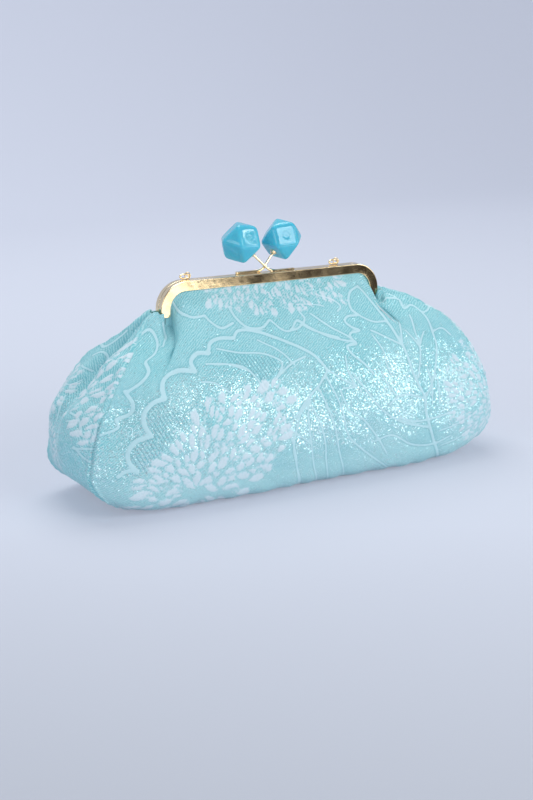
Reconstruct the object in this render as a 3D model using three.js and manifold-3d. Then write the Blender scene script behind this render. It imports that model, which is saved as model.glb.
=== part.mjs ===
// Clutch bag with a kiss-lock frame: a soft brocade body gathered into two hinged gold channels,
// closed by two faceted beads on crossed stems. Millimetres, +Z up, +X along the frame, -Y in front.
// The origin is under the middle of the whole bag, on the surface that it stands on.

import * as THREE from "three";
import { ConvexGeometry } from "three/addons/geometries/ConvexGeometry.js";
import { mergeVertices } from "three/addons/utils/BufferGeometryUtils.js";
import Module from "manifold-3d";

const wasm = await Module();
wasm.setup();

// The frame: two halves, each a channel bent into an arch with its mouth inwards.
const FRAME_WIDTH = 150; // outside of one arm to the outside of the other
const FRAME_TOP = 125; // height of the frame's top over the table
const ARM_LENGTH = 20; // frame top to the lower end of each arm
const CORNER_RADIUS = 16; // outside of the bend between top and arm
const CHANNEL_DEPTH = 3.8; // one half, front to back
const CHANNEL_HEIGHT = 5.8; // outside of the channel to its mouth
const CHANNEL_WALL = 0.8;
const EDGE_BREAK = 0.5; // bevel of the channel's outer edge
const HALVES_GAP = 0.3; // between the two halves when shut

// The hinge at each arm's lower end: a rivet through an ear of each half.
const HINGE_DROP = 2.6; // arm end to the hinge line
const EAR_RADIUS = 2.2;
const EAR_GAP = 0.3; // between the two ears, and between an ear and a rivet head
const EAR_ROOT = 1.5; // how far the back's inset ears reach up into the channel
const RIVET_RADIUS = 0.8;
const RIVET_CLEARANCE = 0.3;
const RIVET_HEAD_RADIUS = 1.7;
const RIVET_HEAD_THICKNESS = 0.8;

// The kiss lock: a bar on each half that turns up into a stem with a faceted bead.
const CLASP_X = -4.1; // where the stems cross
const CLASP_RISE = 3.2; // frame top to the crossing
const BAR_LENGTH = 16.5;
const BAR_HEIGHT = 1.3;
const BAR_WIDTH = 2.2;
const BAR_START = 2.4; // crossing to the near end of each bar
const STEM_RADIUS = 0.75;
const STEM_IN_BEAD = 5;
const BEAD_EDGE = 13; // edge of the bead's square faces, before rounding
const BEAD_ROUNDING = 1.4;
const BEAD_SPREAD = [13.9, 13.8]; // crossing to the bead's middle along X: left bead, right bead
const BEAD_LEAN = [4.7, 4.2]; // how far each bead leans to the back
const BEAD_RISE = 14.9; // crossing to the beads' middles
const COLLAR_RADIUS = 2.1;
const COLLAR_LENGTH = 1.5;

// The chain loops on the back half, each with a small open ring.
const LOOP_X = [-56.7, 45.6];
const LOOP_LENGTH = 6.2;
const LOOP_HEIGHT = 3.2;
const LOOP_WIRE = 0.5; // radius of the wire
const LOOP_BEND = 1.3; // radius of its two corners
const RING_RADIUS = 1.7; // middle of the ring's wire
const RING_WIRE = 0.35; // radius of the wire
const RING_OFFSET = 0.7; // loop's middle to the ring
const RING_TURN = (40 * Math.PI) / 180; // how far it stands askew on the loop
const RING_CLEARANCE = 0.15; // between the ring and the wire that it hangs on

// The cloth.
const CLOTH = 0.8; // brocade with its bonded interlining
const LINING = 0.5;
const CLEARANCE = 0.3; // between pieces that touch
const LINING_EASE = 1; // extra room between the front or back and its lining in the body
const SIDE_LINING_EASE = 0.2; // extra room between a gusset and its lining
const SIDE_LINING_EDGE = 1.2; // how far a gusset's lining stays inside the front and back linings
const FILLER_RADIUS = 0.7; // paper cord pressed into the channel over the cloth's edge
const TUCK = 2.9; // cloth edge inside the channel, measured from the channel's outside
const SEAM_HALF_LENGTH = 133; // middle of the bag to the side seams at their widest, left end
const SEAM_HALF_DEPTH = 31; // centre plane to the side seams
const BODY_HALF_DEPTH = 44.5; // centre plane to the fullest part of the front
const SEAM_TOP_X = 4; // side seam's upper end beyond the arm
const SEAM_TOP_Y = 4.2;
const SEAM_TOP_DROP = 5.4; // arm end down to the side seam's upper end
const FOOT_LIFT = 4.5; // height of the base's two ends, which curl off the table
const RIGHT_FULLNESS = 0.097; // how much longer the better filled right end is
const RIGHT_SHOULDER = 7.6; // how much higher its shoulder stands

// The body's form, row by row from the channel down and under to the middle of the base.
// Shares run from 0 at the frame to 1 at the size named above.
const ROW = [0, 0.05, 0.1, 0.22, 0.36, 0.5, 0.62, 0.72, 0.8, 0.86, 1];
const SEAM_LENGTH_SHARE = [0, 0.08, 0.2, 0.49, 0.72, 0.9, 0.975, 1, 0.85, 0.62, 0.62];
const SEAM_DEPTH_SHARE = [0, 0.05, 0.18, 0.66, 0.9, 0.97, 0.98, 0.99, 1, 0.92];
const SEAM_HEIGHT_SHARE = [1, 0.986, 0.959, 0.857, 0.7, 0.515, 0.342, 0.179, 0.068];
const BODY_DEPTH_SHARE = [0, 0.006, 0.095, 0.364, 0.635, 0.837, 0.957, 1, 0.94, 0.69];
const BODY_HEIGHT_SHARE = [0, 1, 0.953, 0.822, 0.661, 0.483, 0.322, 0.161, 0.042];
const GUSSET_BULGE = [0, 0.3, 1, 4, 10.5, 14, 11, 5, 3, 3.4, 3.4];
const GUSSET_VALLEY = [0.5, 2, 4, 11, 13, 7, 1, 0, 0, 0, 0];
const BASE_ROW = 0.86; // the row where the front turns flat under the bag
const ARCH_SHARE = 0.86; // share of the top row that lies in the channel

// Where the rows stand, from the sizes above.
const armEnd = FRAME_TOP - ARM_LENGTH;
const hingeZ = armEnd - HINGE_DROP;
const halfWidth = FRAME_WIDTH / 2;
const channelFront = HALVES_GAP / 2 + CHANNEL_DEPTH;
const channelMiddle = HALVES_GAP / 2 + CHANNEL_DEPTH / 2;
const clothFace = channelFront - CHANNEL_WALL - CLEARANCE;
const mouthClear = CHANNEL_HEIGHT + 4 * CLEARANCE;
const seamTopZ = armEnd - SEAM_TOP_DROP;
const seamTopX = halfWidth + SEAM_TOP_X;

const seamX = SEAM_LENGTH_SHARE.map((s) => seamTopX + (SEAM_HALF_LENGTH - seamTopX) * s);
const seamY = SEAM_DEPTH_SHARE.map((s) => SEAM_TOP_Y + (SEAM_HALF_DEPTH - SEAM_TOP_Y) * s);
seamY.push(0);
const seamZ = SEAM_HEIGHT_SHARE.map((s) => FOOT_LIFT + (seamTopZ - FOOT_LIFT) * s);
seamZ.push(FOOT_LIFT, FOOT_LIFT);
const bodyY = BODY_DEPTH_SHARE.map((s) => clothFace + (BODY_HALF_DEPTH - clothFace) * s);
bodyY.push(0);
const bodyZ = BODY_HEIGHT_SHARE.map((s) => (FRAME_TOP - mouthClear) * s);
bodyZ[0] = FRAME_TOP - TUCK;
bodyZ.push(0, 0);

// A smooth curve through the rows' values.
function along(values, t) {
  let k = 0;
  while (k < ROW.length - 2 && t >= ROW[k + 1]) k += 1;
  const rise = (i) => (values[i + 1] - values[i]) / (ROW[i + 1] - ROW[i]);
  const slope = (i) => {
    if (i === 0) return rise(0);
    if (i === ROW.length - 1) return rise(i - 1);
    const before = ROW[i] - ROW[i - 1];
    const after = ROW[i + 1] - ROW[i];
    return (rise(i - 1) * after + rise(i) * before) / (before + after);
  };
  const h = ROW[k + 1] - ROW[k];
  const s = (t - ROW[k]) / h;
  return (
    (2 * s ** 3 - 3 * s ** 2 + 1) * values[k] +
    (s ** 3 - 2 * s ** 2 + s) * h * slope(k) +
    (3 * s ** 2 - 2 * s ** 3) * values[k + 1] +
    (s ** 3 - s ** 2) * h * slope(k + 1)
  );
}

const smooth = THREE.MathUtils.smoothstep;
const clamp = THREE.MathUtils.clamp;

// How much of a row still follows the frame, and how much of the right shoulder it carries.
const frameShare = (t) => 1 - smooth(t, 0.05, 0.6);
const shoulder = (t) => RIGHT_SHOULDER * smooth(t, 0.03, 0.16) * (1 - smooth(t, 0.26, 0.62));

// The part of a row that hugs the frame: an arch just inside the channel, then the free edge
// that turns out under the hinge to the side seam. u runs from 0 in the middle to 1 at the seam.
function frameRow(u, t) {
  const inset = Math.min(FRAME_TOP - along(bodyZ, t), mouthClear);
  const half = halfWidth - inset;
  const radius = Math.max(CORNER_RADIUS - inset, 1);
  const top = FRAME_TOP - inset;
  const armFoot = armEnd - 0.5 - (inset - TUCK);
  const outX = along(seamX, t);
  const outZ = along(seamZ, t);
  const foot = Math.min(armFoot, outZ + 1.6);
  if (u <= ARCH_SHARE) {
    const flat = half - radius;
    const bend = (radius * Math.PI) / 2;
    const arm = top - radius - armFoot;
    const run = (u / ARCH_SHARE) * (flat + bend + arm);
    const turn = clamp((run - flat) / radius, 0, Math.PI / 2);
    const x = run < flat ? run : flat + radius * Math.sin(turn);
    const drop = run > flat + bend ? run - flat - bend : 0;
    const z = top - radius + radius * Math.cos(turn) - drop;
    const share = (z - armFoot) / (top - armFoot);
    return { x, z: foot + (along(bodyZ, t) - foot) * share, depth: 1 };
  }
  const b = (u - ARCH_SHARE) / (1 - ARCH_SHARE);
  const near = (1 - b) ** 2;
  const mid = 2 * b * (1 - b);
  return {
    x: near * half + mid * (half + 0.6) + b * b * outX,
    z: near * foot + mid * (outZ + 0.5) + b * b * outZ,
    depth: 1 - b ** 1.3,
  };
}

// The outside of the front (side -1) or the back (side 1). u runs from -1 at the left seam
// to 1 at the right one.
function panelPoint(u, t, side) {
  const a = Math.abs(u);
  const w = frameShare(t);
  const hug = frameRow(a, t);
  const outX = along(seamX, t);
  const low = a + 0.13 * Math.sin(Math.PI * a);
  let x = w * hug.x + (1 - w) * outX * low;
  const flattening = smooth(t, 0.72, BASE_ROW);
  const rise = (1 - flattening) * a ** 2.8 + flattening * clamp((a - 0.5) / 0.5, 0, 1) ** 2;
  const middle = along(bodyZ, t);
  let z = w * hug.z + (1 - w) * (middle + (along(seamZ, t) - middle) * rise);
  const seamDepth = along(seamY, t);
  const fullness = w * hug.depth + (1 - w) * (1 - a ** 3.9);
  const y = seamDepth + (along(bodyY, t) - seamDepth) * fullness;
  if (u > 0) {
    x *= 1 + RIGHT_FULLNESS * (1 - w);
    z += shoulder(t) * clamp((a - 0.3) / 0.7, 0, 1) ** 2;
  }
  if (t > BASE_ROW) {
    const under = (t - BASE_ROW) / (1 - BASE_ROW);
    x += along(GUSSET_BULGE, BASE_ROW) * (1 - (1 - under) ** 2) * a ** 6;
  }
  return new THREE.Vector3(Math.sign(u) * x, side * y, Math.max(z, 0));
}

// The outside of a gusset. v from -1 at the front seam to 1 at the back, end -1 left and 1 right.
function gussetPoint(v, t, end) {
  const w = frameShare(t);
  const fuller = end > 0 ? 1 + RIGHT_FULLNESS * (1 - w) : 1;
  const lobe = along(GUSSET_BULGE, t) * (1 - v * v);
  const valley = along(GUSSET_VALLEY, t) * Math.exp(-(((v - 0.12) / 0.3) ** 2)) * (1 - v * v);
  const x = along(seamX, t) * fuller + lobe - valley;
  const z = along(seamZ, t) + (end > 0 ? shoulder(t) : 0);
  return new THREE.Vector3(end * x, v * along(seamY, t), z);
}

// A point moved along the surface's own outward direction.
function offsetPoint(surface, u, t, outward, distance) {
  const e = 0.004;
  const u0 = clamp(u - e, -1, 1);
  const u1 = clamp(u + e, -1, 1);
  const t0 = clamp(t - e, 0, 1);
  const t1 = clamp(t + e, 0, 1);
  const alongU = surface(u1, t).sub(surface(u0, t));
  const alongT = surface(u, t1).sub(surface(u, t0));
  const normal = alongU.cross(alongT).normalize().multiplyScalar(outward);
  return surface(u, t).addScaledVector(normal, distance);
}

// A closed sheet of cloth on a surface: depthAt(t) below it, "thickness" thick.
function sheet(surface, us, ts, outward, depthAt, thickness) {
  const points = [];
  for (const below of [0, thickness])
    for (const t of ts)
      for (const u of us) points.push(offsetPoint(surface, u, t, outward, -depthAt(t) - below));
  const nu = us.length;
  const nt = ts.length;
  const at = (layer, j, i) => (layer * nt + j) * nu + i;
  const faces = [];
  const quad = (a, b, c, d) => {
    if (points[a].distanceTo(points[c]) <= points[b].distanceTo(points[d])) {
      faces.push([a, b, c], [a, c, d]);
    } else {
      faces.push([a, b, d], [b, c, d]);
    }
  };
  for (let j = 0; j < nt - 1; j += 1)
    for (let i = 0; i < nu - 1; i += 1) {
      quad(at(0, j, i), at(0, j, i + 1), at(0, j + 1, i + 1), at(0, j + 1, i));
      quad(at(1, j, i), at(1, j + 1, i), at(1, j + 1, i + 1), at(1, j, i + 1));
    }
  for (let i = 0; i < nu - 1; i += 1) {
    quad(at(0, 0, i), at(1, 0, i), at(1, 0, i + 1), at(0, 0, i + 1));
    quad(at(0, nt - 1, i), at(0, nt - 1, i + 1), at(1, nt - 1, i + 1), at(1, nt - 1, i));
  }
  for (let j = 0; j < nt - 1; j += 1) {
    quad(at(0, j, 0), at(0, j + 1, 0), at(1, j + 1, 0), at(1, j, 0));
    quad(at(0, j, nu - 1), at(1, j, nu - 1), at(1, j + 1, nu - 1), at(0, j + 1, nu - 1));
  }
  return solidFrom(points, outward > 0 ? faces : faces.map(([a, b, c]) => [a, c, b]));
}

function solidFrom(points, faces) {
  const geometry = new THREE.BufferGeometry();
  const numbers = points.flatMap((p) => [p.x, p.y, p.z]);
  geometry.setAttribute("position", new THREE.Float32BufferAttribute(numbers, 3));
  geometry.setIndex(faces.flat());
  return geometry;
}

// Joining and cutting of closed solids.
function toManifold(geometry) {
  const plain = new THREE.BufferGeometry();
  const source = geometry.index ? geometry.toNonIndexed() : geometry;
  plain.setAttribute("position", source.getAttribute("position"));
  const merged = mergeVertices(plain, 1e-4);
  return new wasm.Manifold(
    new wasm.Mesh({
      numProp: 3,
      vertProperties: merged.getAttribute("position").array,
      triVerts: new Uint32Array(merged.index.array),
    }),
  );
}

function toGeometry(manifold) {
  const mesh = manifold.getMesh();
  const geometry = new THREE.BufferGeometry();
  geometry.setAttribute("position", new THREE.Float32BufferAttribute(mesh.vertProperties, 3));
  geometry.setIndex(Array.from(mesh.triVerts));
  return geometry;
}

const join = (pieces) => toGeometry(pieces.map(toManifold).reduce((a, b) => a.add(b)));
const cut = (whole, ...tools) =>
  toGeometry(tools.map(toManifold).reduce((a, b) => a.subtract(b), toManifold(whole)));

// A section given as [inset from the arch's outside, y], swept round the frame's arch.
function archSweep(outline, armFoot, steps) {
  const contour = outline.map(([inset, y]) => new THREE.Vector2(inset, y));
  if (THREE.ShapeUtils.isClockWise(contour)) contour.reverse();
  const flat = halfWidth - CORNER_RADIUS;
  const stations = [{ x: -halfWidth, z: armFoot, nx: 1, nz: 0 }];
  for (const end of [-1, 1])
    for (let i = 0; i <= steps; i += 1) {
      const turn = ((end < 0 ? i : steps - i) / steps) * (Math.PI / 2);
      const nx = -end * Math.cos(turn);
      const nz = -Math.sin(turn);
      stations.push({
        x: end * flat - nx * CORNER_RADIUS,
        z: FRAME_TOP - CORNER_RADIUS - nz * CORNER_RADIUS,
        nx,
        nz,
      });
    }
  stations.push({ x: halfWidth, z: armFoot, nx: -1, nz: 0 });
  const points = stations.flatMap((s) =>
    contour.map(({ x: inset, y }) => new THREE.Vector3(s.x + s.nx * inset, y, s.z + s.nz * inset)),
  );
  const n = contour.length;
  const faces = [];
  for (let j = 0; j < stations.length - 1; j += 1)
    for (let i = 0; i < n; i += 1) {
      const a = j * n + i;
      const b = j * n + ((i + 1) % n);
      faces.push([a, b, b + n], [a, b + n, a + n]);
    }
  const last = (stations.length - 1) * n;
  for (const [a, b, c] of THREE.ShapeUtils.triangulateShape(contour, [])) {
    faces.push([a, c, b]);
    faces.push([last + a, last + b, last + c]);
  }
  return solidFrom(points, faces);
}

// A plate cut from an outline in Y and Z, standing between two values of X.
function plate(outline, x0, x1) {
  const shape = new THREE.Shape(outline.map(([y, z]) => new THREE.Vector2(y, z)));
  const geometry = new THREE.ExtrudeGeometry(shape, {
    depth: Math.abs(x1 - x0),
    bevelEnabled: false,
  });
  geometry.applyMatrix4(
    new THREE.Matrix4().makeBasis(
      new THREE.Vector3(0, 1, 0),
      new THREE.Vector3(0, 0, 1),
      new THREE.Vector3(1, 0, 0),
    ),
  );
  return geometry.translate(Math.min(x0, x1), 0, 0);
}

// A round bar along X.
function barX(radius, x0, x1, y, z, sides) {
  return new THREE.CylinderGeometry(radius, radius, Math.abs(x1 - x0), sides)
    .rotateZ(Math.PI / 2)
    .translate((x0 + x1) / 2, y, z);
}

// A round wire swept along a curve.
function wire(curve, radius, sides, steps) {
  const section = new THREE.Shape();
  for (let i = 0; i < sides; i += 1) {
    const turn = (i / sides) * Math.PI * 2;
    const point = [radius * Math.cos(turn), radius * Math.sin(turn)];
    if (i === 0) section.moveTo(...point);
    else section.lineTo(...point);
  }
  return new THREE.ExtrudeGeometry(section, { steps, extrudePath: curve, bevelEnabled: false });
}

// One frame half: the channel and, at each arm's end, an ear that reaches the hinge line.
// The front's ears lie outermost and the back's are set in beside them.
function frameHalf(side) {
  const outer = side * channelFront;
  const inner = side * (HALVES_GAP / 2);
  const wall = side * CHANNEL_WALL;
  const section = [
    [EDGE_BREAK, outer],
    [CHANNEL_HEIGHT, outer],
    [CHANNEL_HEIGHT, outer - wall],
    [CHANNEL_WALL, outer - wall],
    [CHANNEL_WALL, inner + wall],
    [CHANNEL_HEIGHT, inner + wall],
    [CHANNEL_HEIGHT, inner],
    [0, inner],
    [0, outer - side * EDGE_BREAK],
  ];
  const channel = archSweep(section, armEnd, 6);
  const pieces = [channel];
  const bores = [];
  const rootTop = armEnd + EAR_ROOT;
  for (const end of [-1, 1]) {
    const face = end * (halfWidth - (side < 0 ? 0 : CHANNEL_WALL + EAR_GAP));
    const back = face - end * CHANNEL_WALL;
    const neck = [
      [outer - side * EDGE_BREAK, armEnd + 0.6],
      [inner, armEnd + 0.6],
      [inner, hingeZ],
      [0, hingeZ],
      [side * EAR_RADIUS * 0.75, hingeZ - EAR_RADIUS * 0.6],
      [outer - side * EDGE_BREAK, armEnd - 1],
    ];
    pieces.push(plate(side < 0 ? neck : neck.slice().reverse(), face, back));
    pieces.push(barX(EAR_RADIUS, face, back, 0, hingeZ, 16));
    if (side > 0) {
      const root = [
        [inner, armEnd],
        [outer - wall * 0.5, armEnd],
        [outer - wall * 0.5, rootTop],
        [inner, rootTop],
      ];
      pieces.push(plate(root, end * (halfWidth - 0.1), back));
    }
    const overrun = end * 0.5;
    bores.push(barX(RIVET_RADIUS + RIVET_CLEARANCE, face + overrun, back - overrun, 0, hingeZ, 12));
  }
  return cut(join(pieces), ...bores);
}

function rivet(end) {
  const outerHead = end * (halfWidth + EAR_GAP);
  const innerHead = end * (halfWidth - 2 * CHANNEL_WALL - 2 * EAR_GAP);
  const outerTip = outerHead + end * RIVET_HEAD_THICKNESS;
  const innerTip = innerHead - end * RIVET_HEAD_THICKNESS;
  return join([
    barX(RIVET_HEAD_RADIUS, outerHead, outerTip, 0, hingeZ, 12),
    barX(RIVET_HEAD_RADIUS, innerHead, innerTip, 0, hingeZ, 12),
    barX(RIVET_RADIUS, outerTip - end * 0.2, innerTip + end * 0.2, 0, hingeZ, 12),
  ]);
}

// The paper cord that wedges the cloth in the channel, above its edge.
function filler(side) {
  const inset = CHANNEL_WALL + CLEARANCE + FILLER_RADIUS;
  const section = [];
  for (let i = 0; i < 6; i += 1) {
    const turn = (i / 6) * Math.PI * 2;
    const across = side * channelMiddle + FILLER_RADIUS * Math.sin(turn);
    section.push([inset + FILLER_RADIUS * Math.cos(turn), across]);
  }
  return archSweep(section, armEnd + 2.5, 6);
}

// Each half's bar sits on its own channel, the front's right of the crossing and the back's left.
// Its stem crosses the other and carries the bead of the far side, so it can part from it.
const claspZ = FRAME_TOP + CLASP_RISE;
const stemPart = STEM_RADIUS + CLEARANCE / 2;

function beadCentre(side) {
  const which = side < 0 ? 0 : 1;
  return new THREE.Vector3(CLASP_X + side * BEAD_SPREAD[which], BEAD_LEAN[which], claspZ + BEAD_RISE);
}

function claspPoint(side) {
  return new THREE.Vector3(CLASP_X, side * stemPart, claspZ);
}

// Unit direction from the crossing up into the bead.
function stemDirection(side) {
  return beadCentre(side).sub(claspPoint(side)).normalize();
}

const beadHalf = BEAD_EDGE / Math.SQRT2; // middle of the bead to a square face

function claspStem(side) {
  const barZ = FRAME_TOP + CLEARANCE + BAR_HEIGHT / 2;
  const near = CLASP_X - side * BAR_START;
  const far = near - side * BAR_LENGTH;
  const bar = new THREE.BoxGeometry(BAR_LENGTH, BAR_WIDTH, BAR_HEIGHT);
  bar.translate((near + far) / 2, side * channelMiddle, barZ);
  const tip = beadCentre(side).addScaledVector(stemDirection(side), STEM_IN_BEAD - beadHalf);
  const bend = new THREE.CurvePath();
  const root = new THREE.Vector3(near - side * 1.5, side * channelMiddle, barZ);
  const knee = claspPoint(side).addScaledVector(stemDirection(side), (barZ - claspZ) / stemDirection(side).z);
  bend.add(new THREE.QuadraticBezierCurve3(root, knee, claspPoint(side)));
  bend.add(new THREE.LineCurve3(claspPoint(side), tip));
  const stem = wire(bend, STEM_RADIUS, 8, 14);
  return join([bar, stem]);
}

// The bead: a block with its eight corners cut to the middles of its edges, softly rounded,
// bored on the square face where the stem goes in.
function bead(side, front) {
  const axis = stemDirection(side).negate();
  const forward = new THREE.Vector3(...front);
  forward.addScaledVector(axis, -forward.dot(axis)).normalize();
  const across = new THREE.Vector3().crossVectors(axis, forward);
  const reach = beadHalf - BEAD_ROUNDING;
  const points = [];
  const ball = mergeVertices(new THREE.IcosahedronGeometry(BEAD_ROUNDING, 1)).getAttribute("position");
  for (const [i, j] of [[0, 1], [1, 2], [2, 0]])
    for (const a of [-1, 1])
      for (const b of [-1, 1]) {
        const corner = [0, 0, 0];
        corner[i] = a * reach;
        corner[j] = b * reach;
        const centre = new THREE.Vector3(...corner);
        for (let k = 0; k < ball.count; k += 1)
          points.push(new THREE.Vector3().fromBufferAttribute(ball, k).add(centre));
      }
  const solid = new ConvexGeometry(points);
  const boreRadius = STEM_RADIUS + CLEARANCE;
  const boreDepth = STEM_IN_BEAD + CLEARANCE;
  const hole = new THREE.CylinderGeometry(boreRadius, boreRadius, 2 * boreDepth, 12);
  hole.translate(0, beadHalf, 0);
  return cut(solid, hole)
    .applyMatrix4(new THREE.Matrix4().makeBasis(across, axis, forward))
    .translate(...beadCentre(side).toArray());
}

function collar(side) {
  const direction = stemDirection(side);
  const inner = STEM_RADIUS + CLEARANCE;
  const profile = [
    [inner, 0],
    [COLLAR_RADIUS - 0.6, 0],
    [COLLAR_RADIUS, COLLAR_LENGTH * 0.6],
    [COLLAR_RADIUS, COLLAR_LENGTH],
    [inner, COLLAR_LENGTH],
    [inner, 0],
  ].map(([r, h]) => new THREE.Vector2(r, h));
  const ring = new THREE.LatheGeometry(profile, 12);
  const foot = beadCentre(side).addScaledVector(direction, -beadHalf - CLEARANCE - COLLAR_LENGTH);
  const upright = new THREE.Vector3(0, 1, 0);
  ring.applyQuaternion(new THREE.Quaternion().setFromUnitVectors(upright, direction));
  return ring.translate(...foot.toArray());
}

// A staple of round wire standing on the back half, its top straight so the ring can swing on it.
function chainLoop(x) {
  const half = LOOP_LENGTH / 2;
  const foot = FRAME_TOP + CLEARANCE;
  const top = FRAME_TOP + CLEARANCE + LOOP_HEIGHT - LOOP_WIRE;
  const point = (dx, z) => new THREE.Vector3(x + dx, channelMiddle, z);
  const bend = (end) => [
    point(end * half, top - LOOP_BEND),
    point(end * half, top),
    point(end * (half - LOOP_BEND), top),
  ];
  const left = bend(-1);
  const right = bend(1).reverse();
  const path = new THREE.CurvePath();
  path.add(new THREE.LineCurve3(point(-half, foot), left[0]));
  path.add(new THREE.QuadraticBezierCurve3(...left));
  path.add(new THREE.LineCurve3(left[2], right[0]));
  path.add(new THREE.QuadraticBezierCurve3(...right));
  path.add(new THREE.LineCurve3(right[2], point(half, foot)));
  return wire(path, LOOP_WIRE, 8, 20);
}

function jumpRing(x) {
  const loopTop = FRAME_TOP + CLEARANCE + LOOP_HEIGHT - LOOP_WIRE;
  const hang = RING_RADIUS - RING_WIRE - LOOP_WIRE - RING_CLEARANCE;
  return new THREE.TorusGeometry(RING_RADIUS, RING_WIRE, 8, 16)
    .rotateY(Math.PI / 2)
    .rotateZ(RING_TURN)
    .translate(x + RING_OFFSET, channelMiddle, loopTop - hang);
}

// The cloth pieces. Lists of u or v, and of rows t, where each is shaped.
const mirrored = (list) => [...list.slice(1).reverse().map((v) => -v), ...list];
const SIDE_ROWS = [0.16, 0.22, 0.3, 0.38, 0.47, 0.55, 0.63, 0.7, 0.76, 0.81];
const NECK_ROWS = [0, 0.05, 0.075, 0.1];
const PANEL_ROWS = [...NECK_ROWS, ...SIDE_ROWS, BASE_ROW, 0.93, 1];
const PANEL_COLUMNS = mirrored([0, 0.2, 0.4, 0.52, 0.6, 0.65, 0.705, 0.76, 0.81, 0.86, 0.91, 0.955, 1]);
const LINING_ROWS = [...NECK_ROWS, ...SIDE_ROWS, BASE_ROW, 0.995];
const LINING_COLUMNS = mirrored([0, 0.2, 0.4, 0.52, 0.61, 0.68, 0.76, 0.84, 0.92, 1]);
const GUSSET_ROWS = [0.06, 0.1, ...SIDE_ROWS, 0.845];
const GUSSET_COLUMNS = [-1, -0.75, -0.5, -0.3, -0.1, 0.05, 0.2, 0.35, 0.55, 0.78, 1];

const baseGap = CLEARANCE / 2;

function keptOffCentre(point, side) {
  if (side * point.y < baseGap) point.y = side * baseGap;
  return point;
}

function panel(side) {
  const surface = (u, t) => keptOffCentre(panelPoint(u, t, side), side);
  return sheet(surface, PANEL_COLUMNS, PANEL_ROWS, side < 0 ? -1 : 1, () => 0, CLOTH);
}

// The lining lies close in the channel and hangs a little freer in the body.
const liningDepth = (t) => CLOTH + CLEARANCE + LINING_EASE * smooth(t, 0.04, 0.12);

// How far along a row the lining reaches: short of the hinge at the top, close to the seam below.
const liningReach = (t) => 0.77 + 0.17 * smooth(t, 0.22, 0.42);

function panelLining(side) {
  const surface = (u, t) => keptOffCentre(panelPoint(u * liningReach(t), t, side), side);
  return sheet(surface, LINING_COLUMNS, LINING_ROWS, side < 0 ? -1 : 1, liningDepth, LINING);
}

// A gusset is drawn between two edges that lie "inset" inside the front and the back.
function gussetSurface(end, inset) {
  const edge = (t, side) => {
    const surface = (u, s) => panelPoint(u, s, side);
    return offsetPoint(surface, end, t, side < 0 ? -1 : 1, -inset);
  };
  return (v, t) => {
    const point = gussetPoint(v, t, end);
    const front = edge(t, -1).sub(gussetPoint(-1, t, end));
    const back = edge(t, 1).sub(gussetPoint(1, t, end));
    const share = (v + 1) / 2;
    return point.addScaledVector(front, 1 - share).addScaledVector(back, share);
  };
}

function gusset(end) {
  const surface = gussetSurface(end, CLOTH + CLEARANCE + 0.15);
  return sheet(surface, GUSSET_COLUMNS, GUSSET_ROWS, end < 0 ? 1 : -1, () => 0, CLOTH);
}

function gussetLining(end) {
  const surface = gussetSurface(end, CLOTH + LINING + 3 * CLEARANCE + SIDE_LINING_EDGE);
  const depth = () => CLOTH + CLEARANCE + SIDE_LINING_EASE;
  return sheet(surface, GUSSET_COLUMNS, SIDE_ROWS, end < 0 ? 1 : -1, depth, LINING);
}

// Materials.
const brocade = { color: 0x8fcbd8, roughness: 0.6, metalness: 0 };
const satin = { color: 0xd9e6ea, roughness: 0.5, metalness: 0 };
const gold = { color: 0xd9b877, roughness: 0.2, metalness: 1 };
const acrylic = { color: 0x4fb4dc, roughness: 0.12, metalness: 0 };
const paper = { color: 0xcfc3a8, roughness: 0.9, metalness: 0 };

const pieces = [
  ["front_frame", frameHalf(-1), gold],
  ["rear_frame", frameHalf(1), gold],
  ["hinge_rivet_left", rivet(-1), gold],
  ["hinge_rivet_right", rivet(1), gold],
  ["front_clasp_stem", claspStem(-1), gold],
  ["rear_clasp_stem", claspStem(1), gold],
  ["left_bead", bead(-1, [0.179, -0.899, 0.4]), acrylic],
  ["right_bead", bead(1, [-0.198, -0.894, 0.403]), acrylic],
  ["left_bead_collar", collar(-1), gold],
  ["right_bead_collar", collar(1), gold],
  ["chain_loop_left", chainLoop(LOOP_X[0]), gold],
  ["chain_loop_right", chainLoop(LOOP_X[1]), gold],
  ["jump_ring_left", jumpRing(LOOP_X[0]), gold],
  ["jump_ring_right", jumpRing(LOOP_X[1]), gold],
  ["front_paper_filler", filler(-1), paper],
  ["rear_paper_filler", filler(1), paper],
  ["front_panel", panel(-1), brocade],
  ["rear_panel", panel(1), brocade],
  ["left_gusset", gusset(-1), brocade],
  ["right_gusset", gusset(1), brocade],
  ["front_lining", panelLining(-1), satin],
  ["rear_lining", panelLining(1), satin],
  ["left_lining", gussetLining(-1), satin],
  ["right_lining", gussetLining(1), satin],
];

const bag = new THREE.Group();
for (const [name, geometry, look] of pieces) {
  const mesh = new THREE.Mesh(geometry, new THREE.MeshStandardMaterial(look));
  mesh.name = name;
  bag.add(mesh);
}

// The fuller right end puts the frame left of the middle, and the origin goes under the middle.
const whole = new THREE.Box3().setFromObject(bag);
const middle = (whole.min.x + whole.max.x) / 2;
for (const mesh of bag.children) mesh.geometry.translate(-middle, 0, -whole.min.z);

export default bag;
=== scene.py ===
# A brocade clutch bag in a gold kiss-lock frame, made in the order in which the real bag is put
# together: cloth, lining, frame, clasp and beads. Lengths inside a section are millimetres in the
# frame's own place, with the frame's middle at x 0; mesh_of() takes them to metres.
import math

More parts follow.
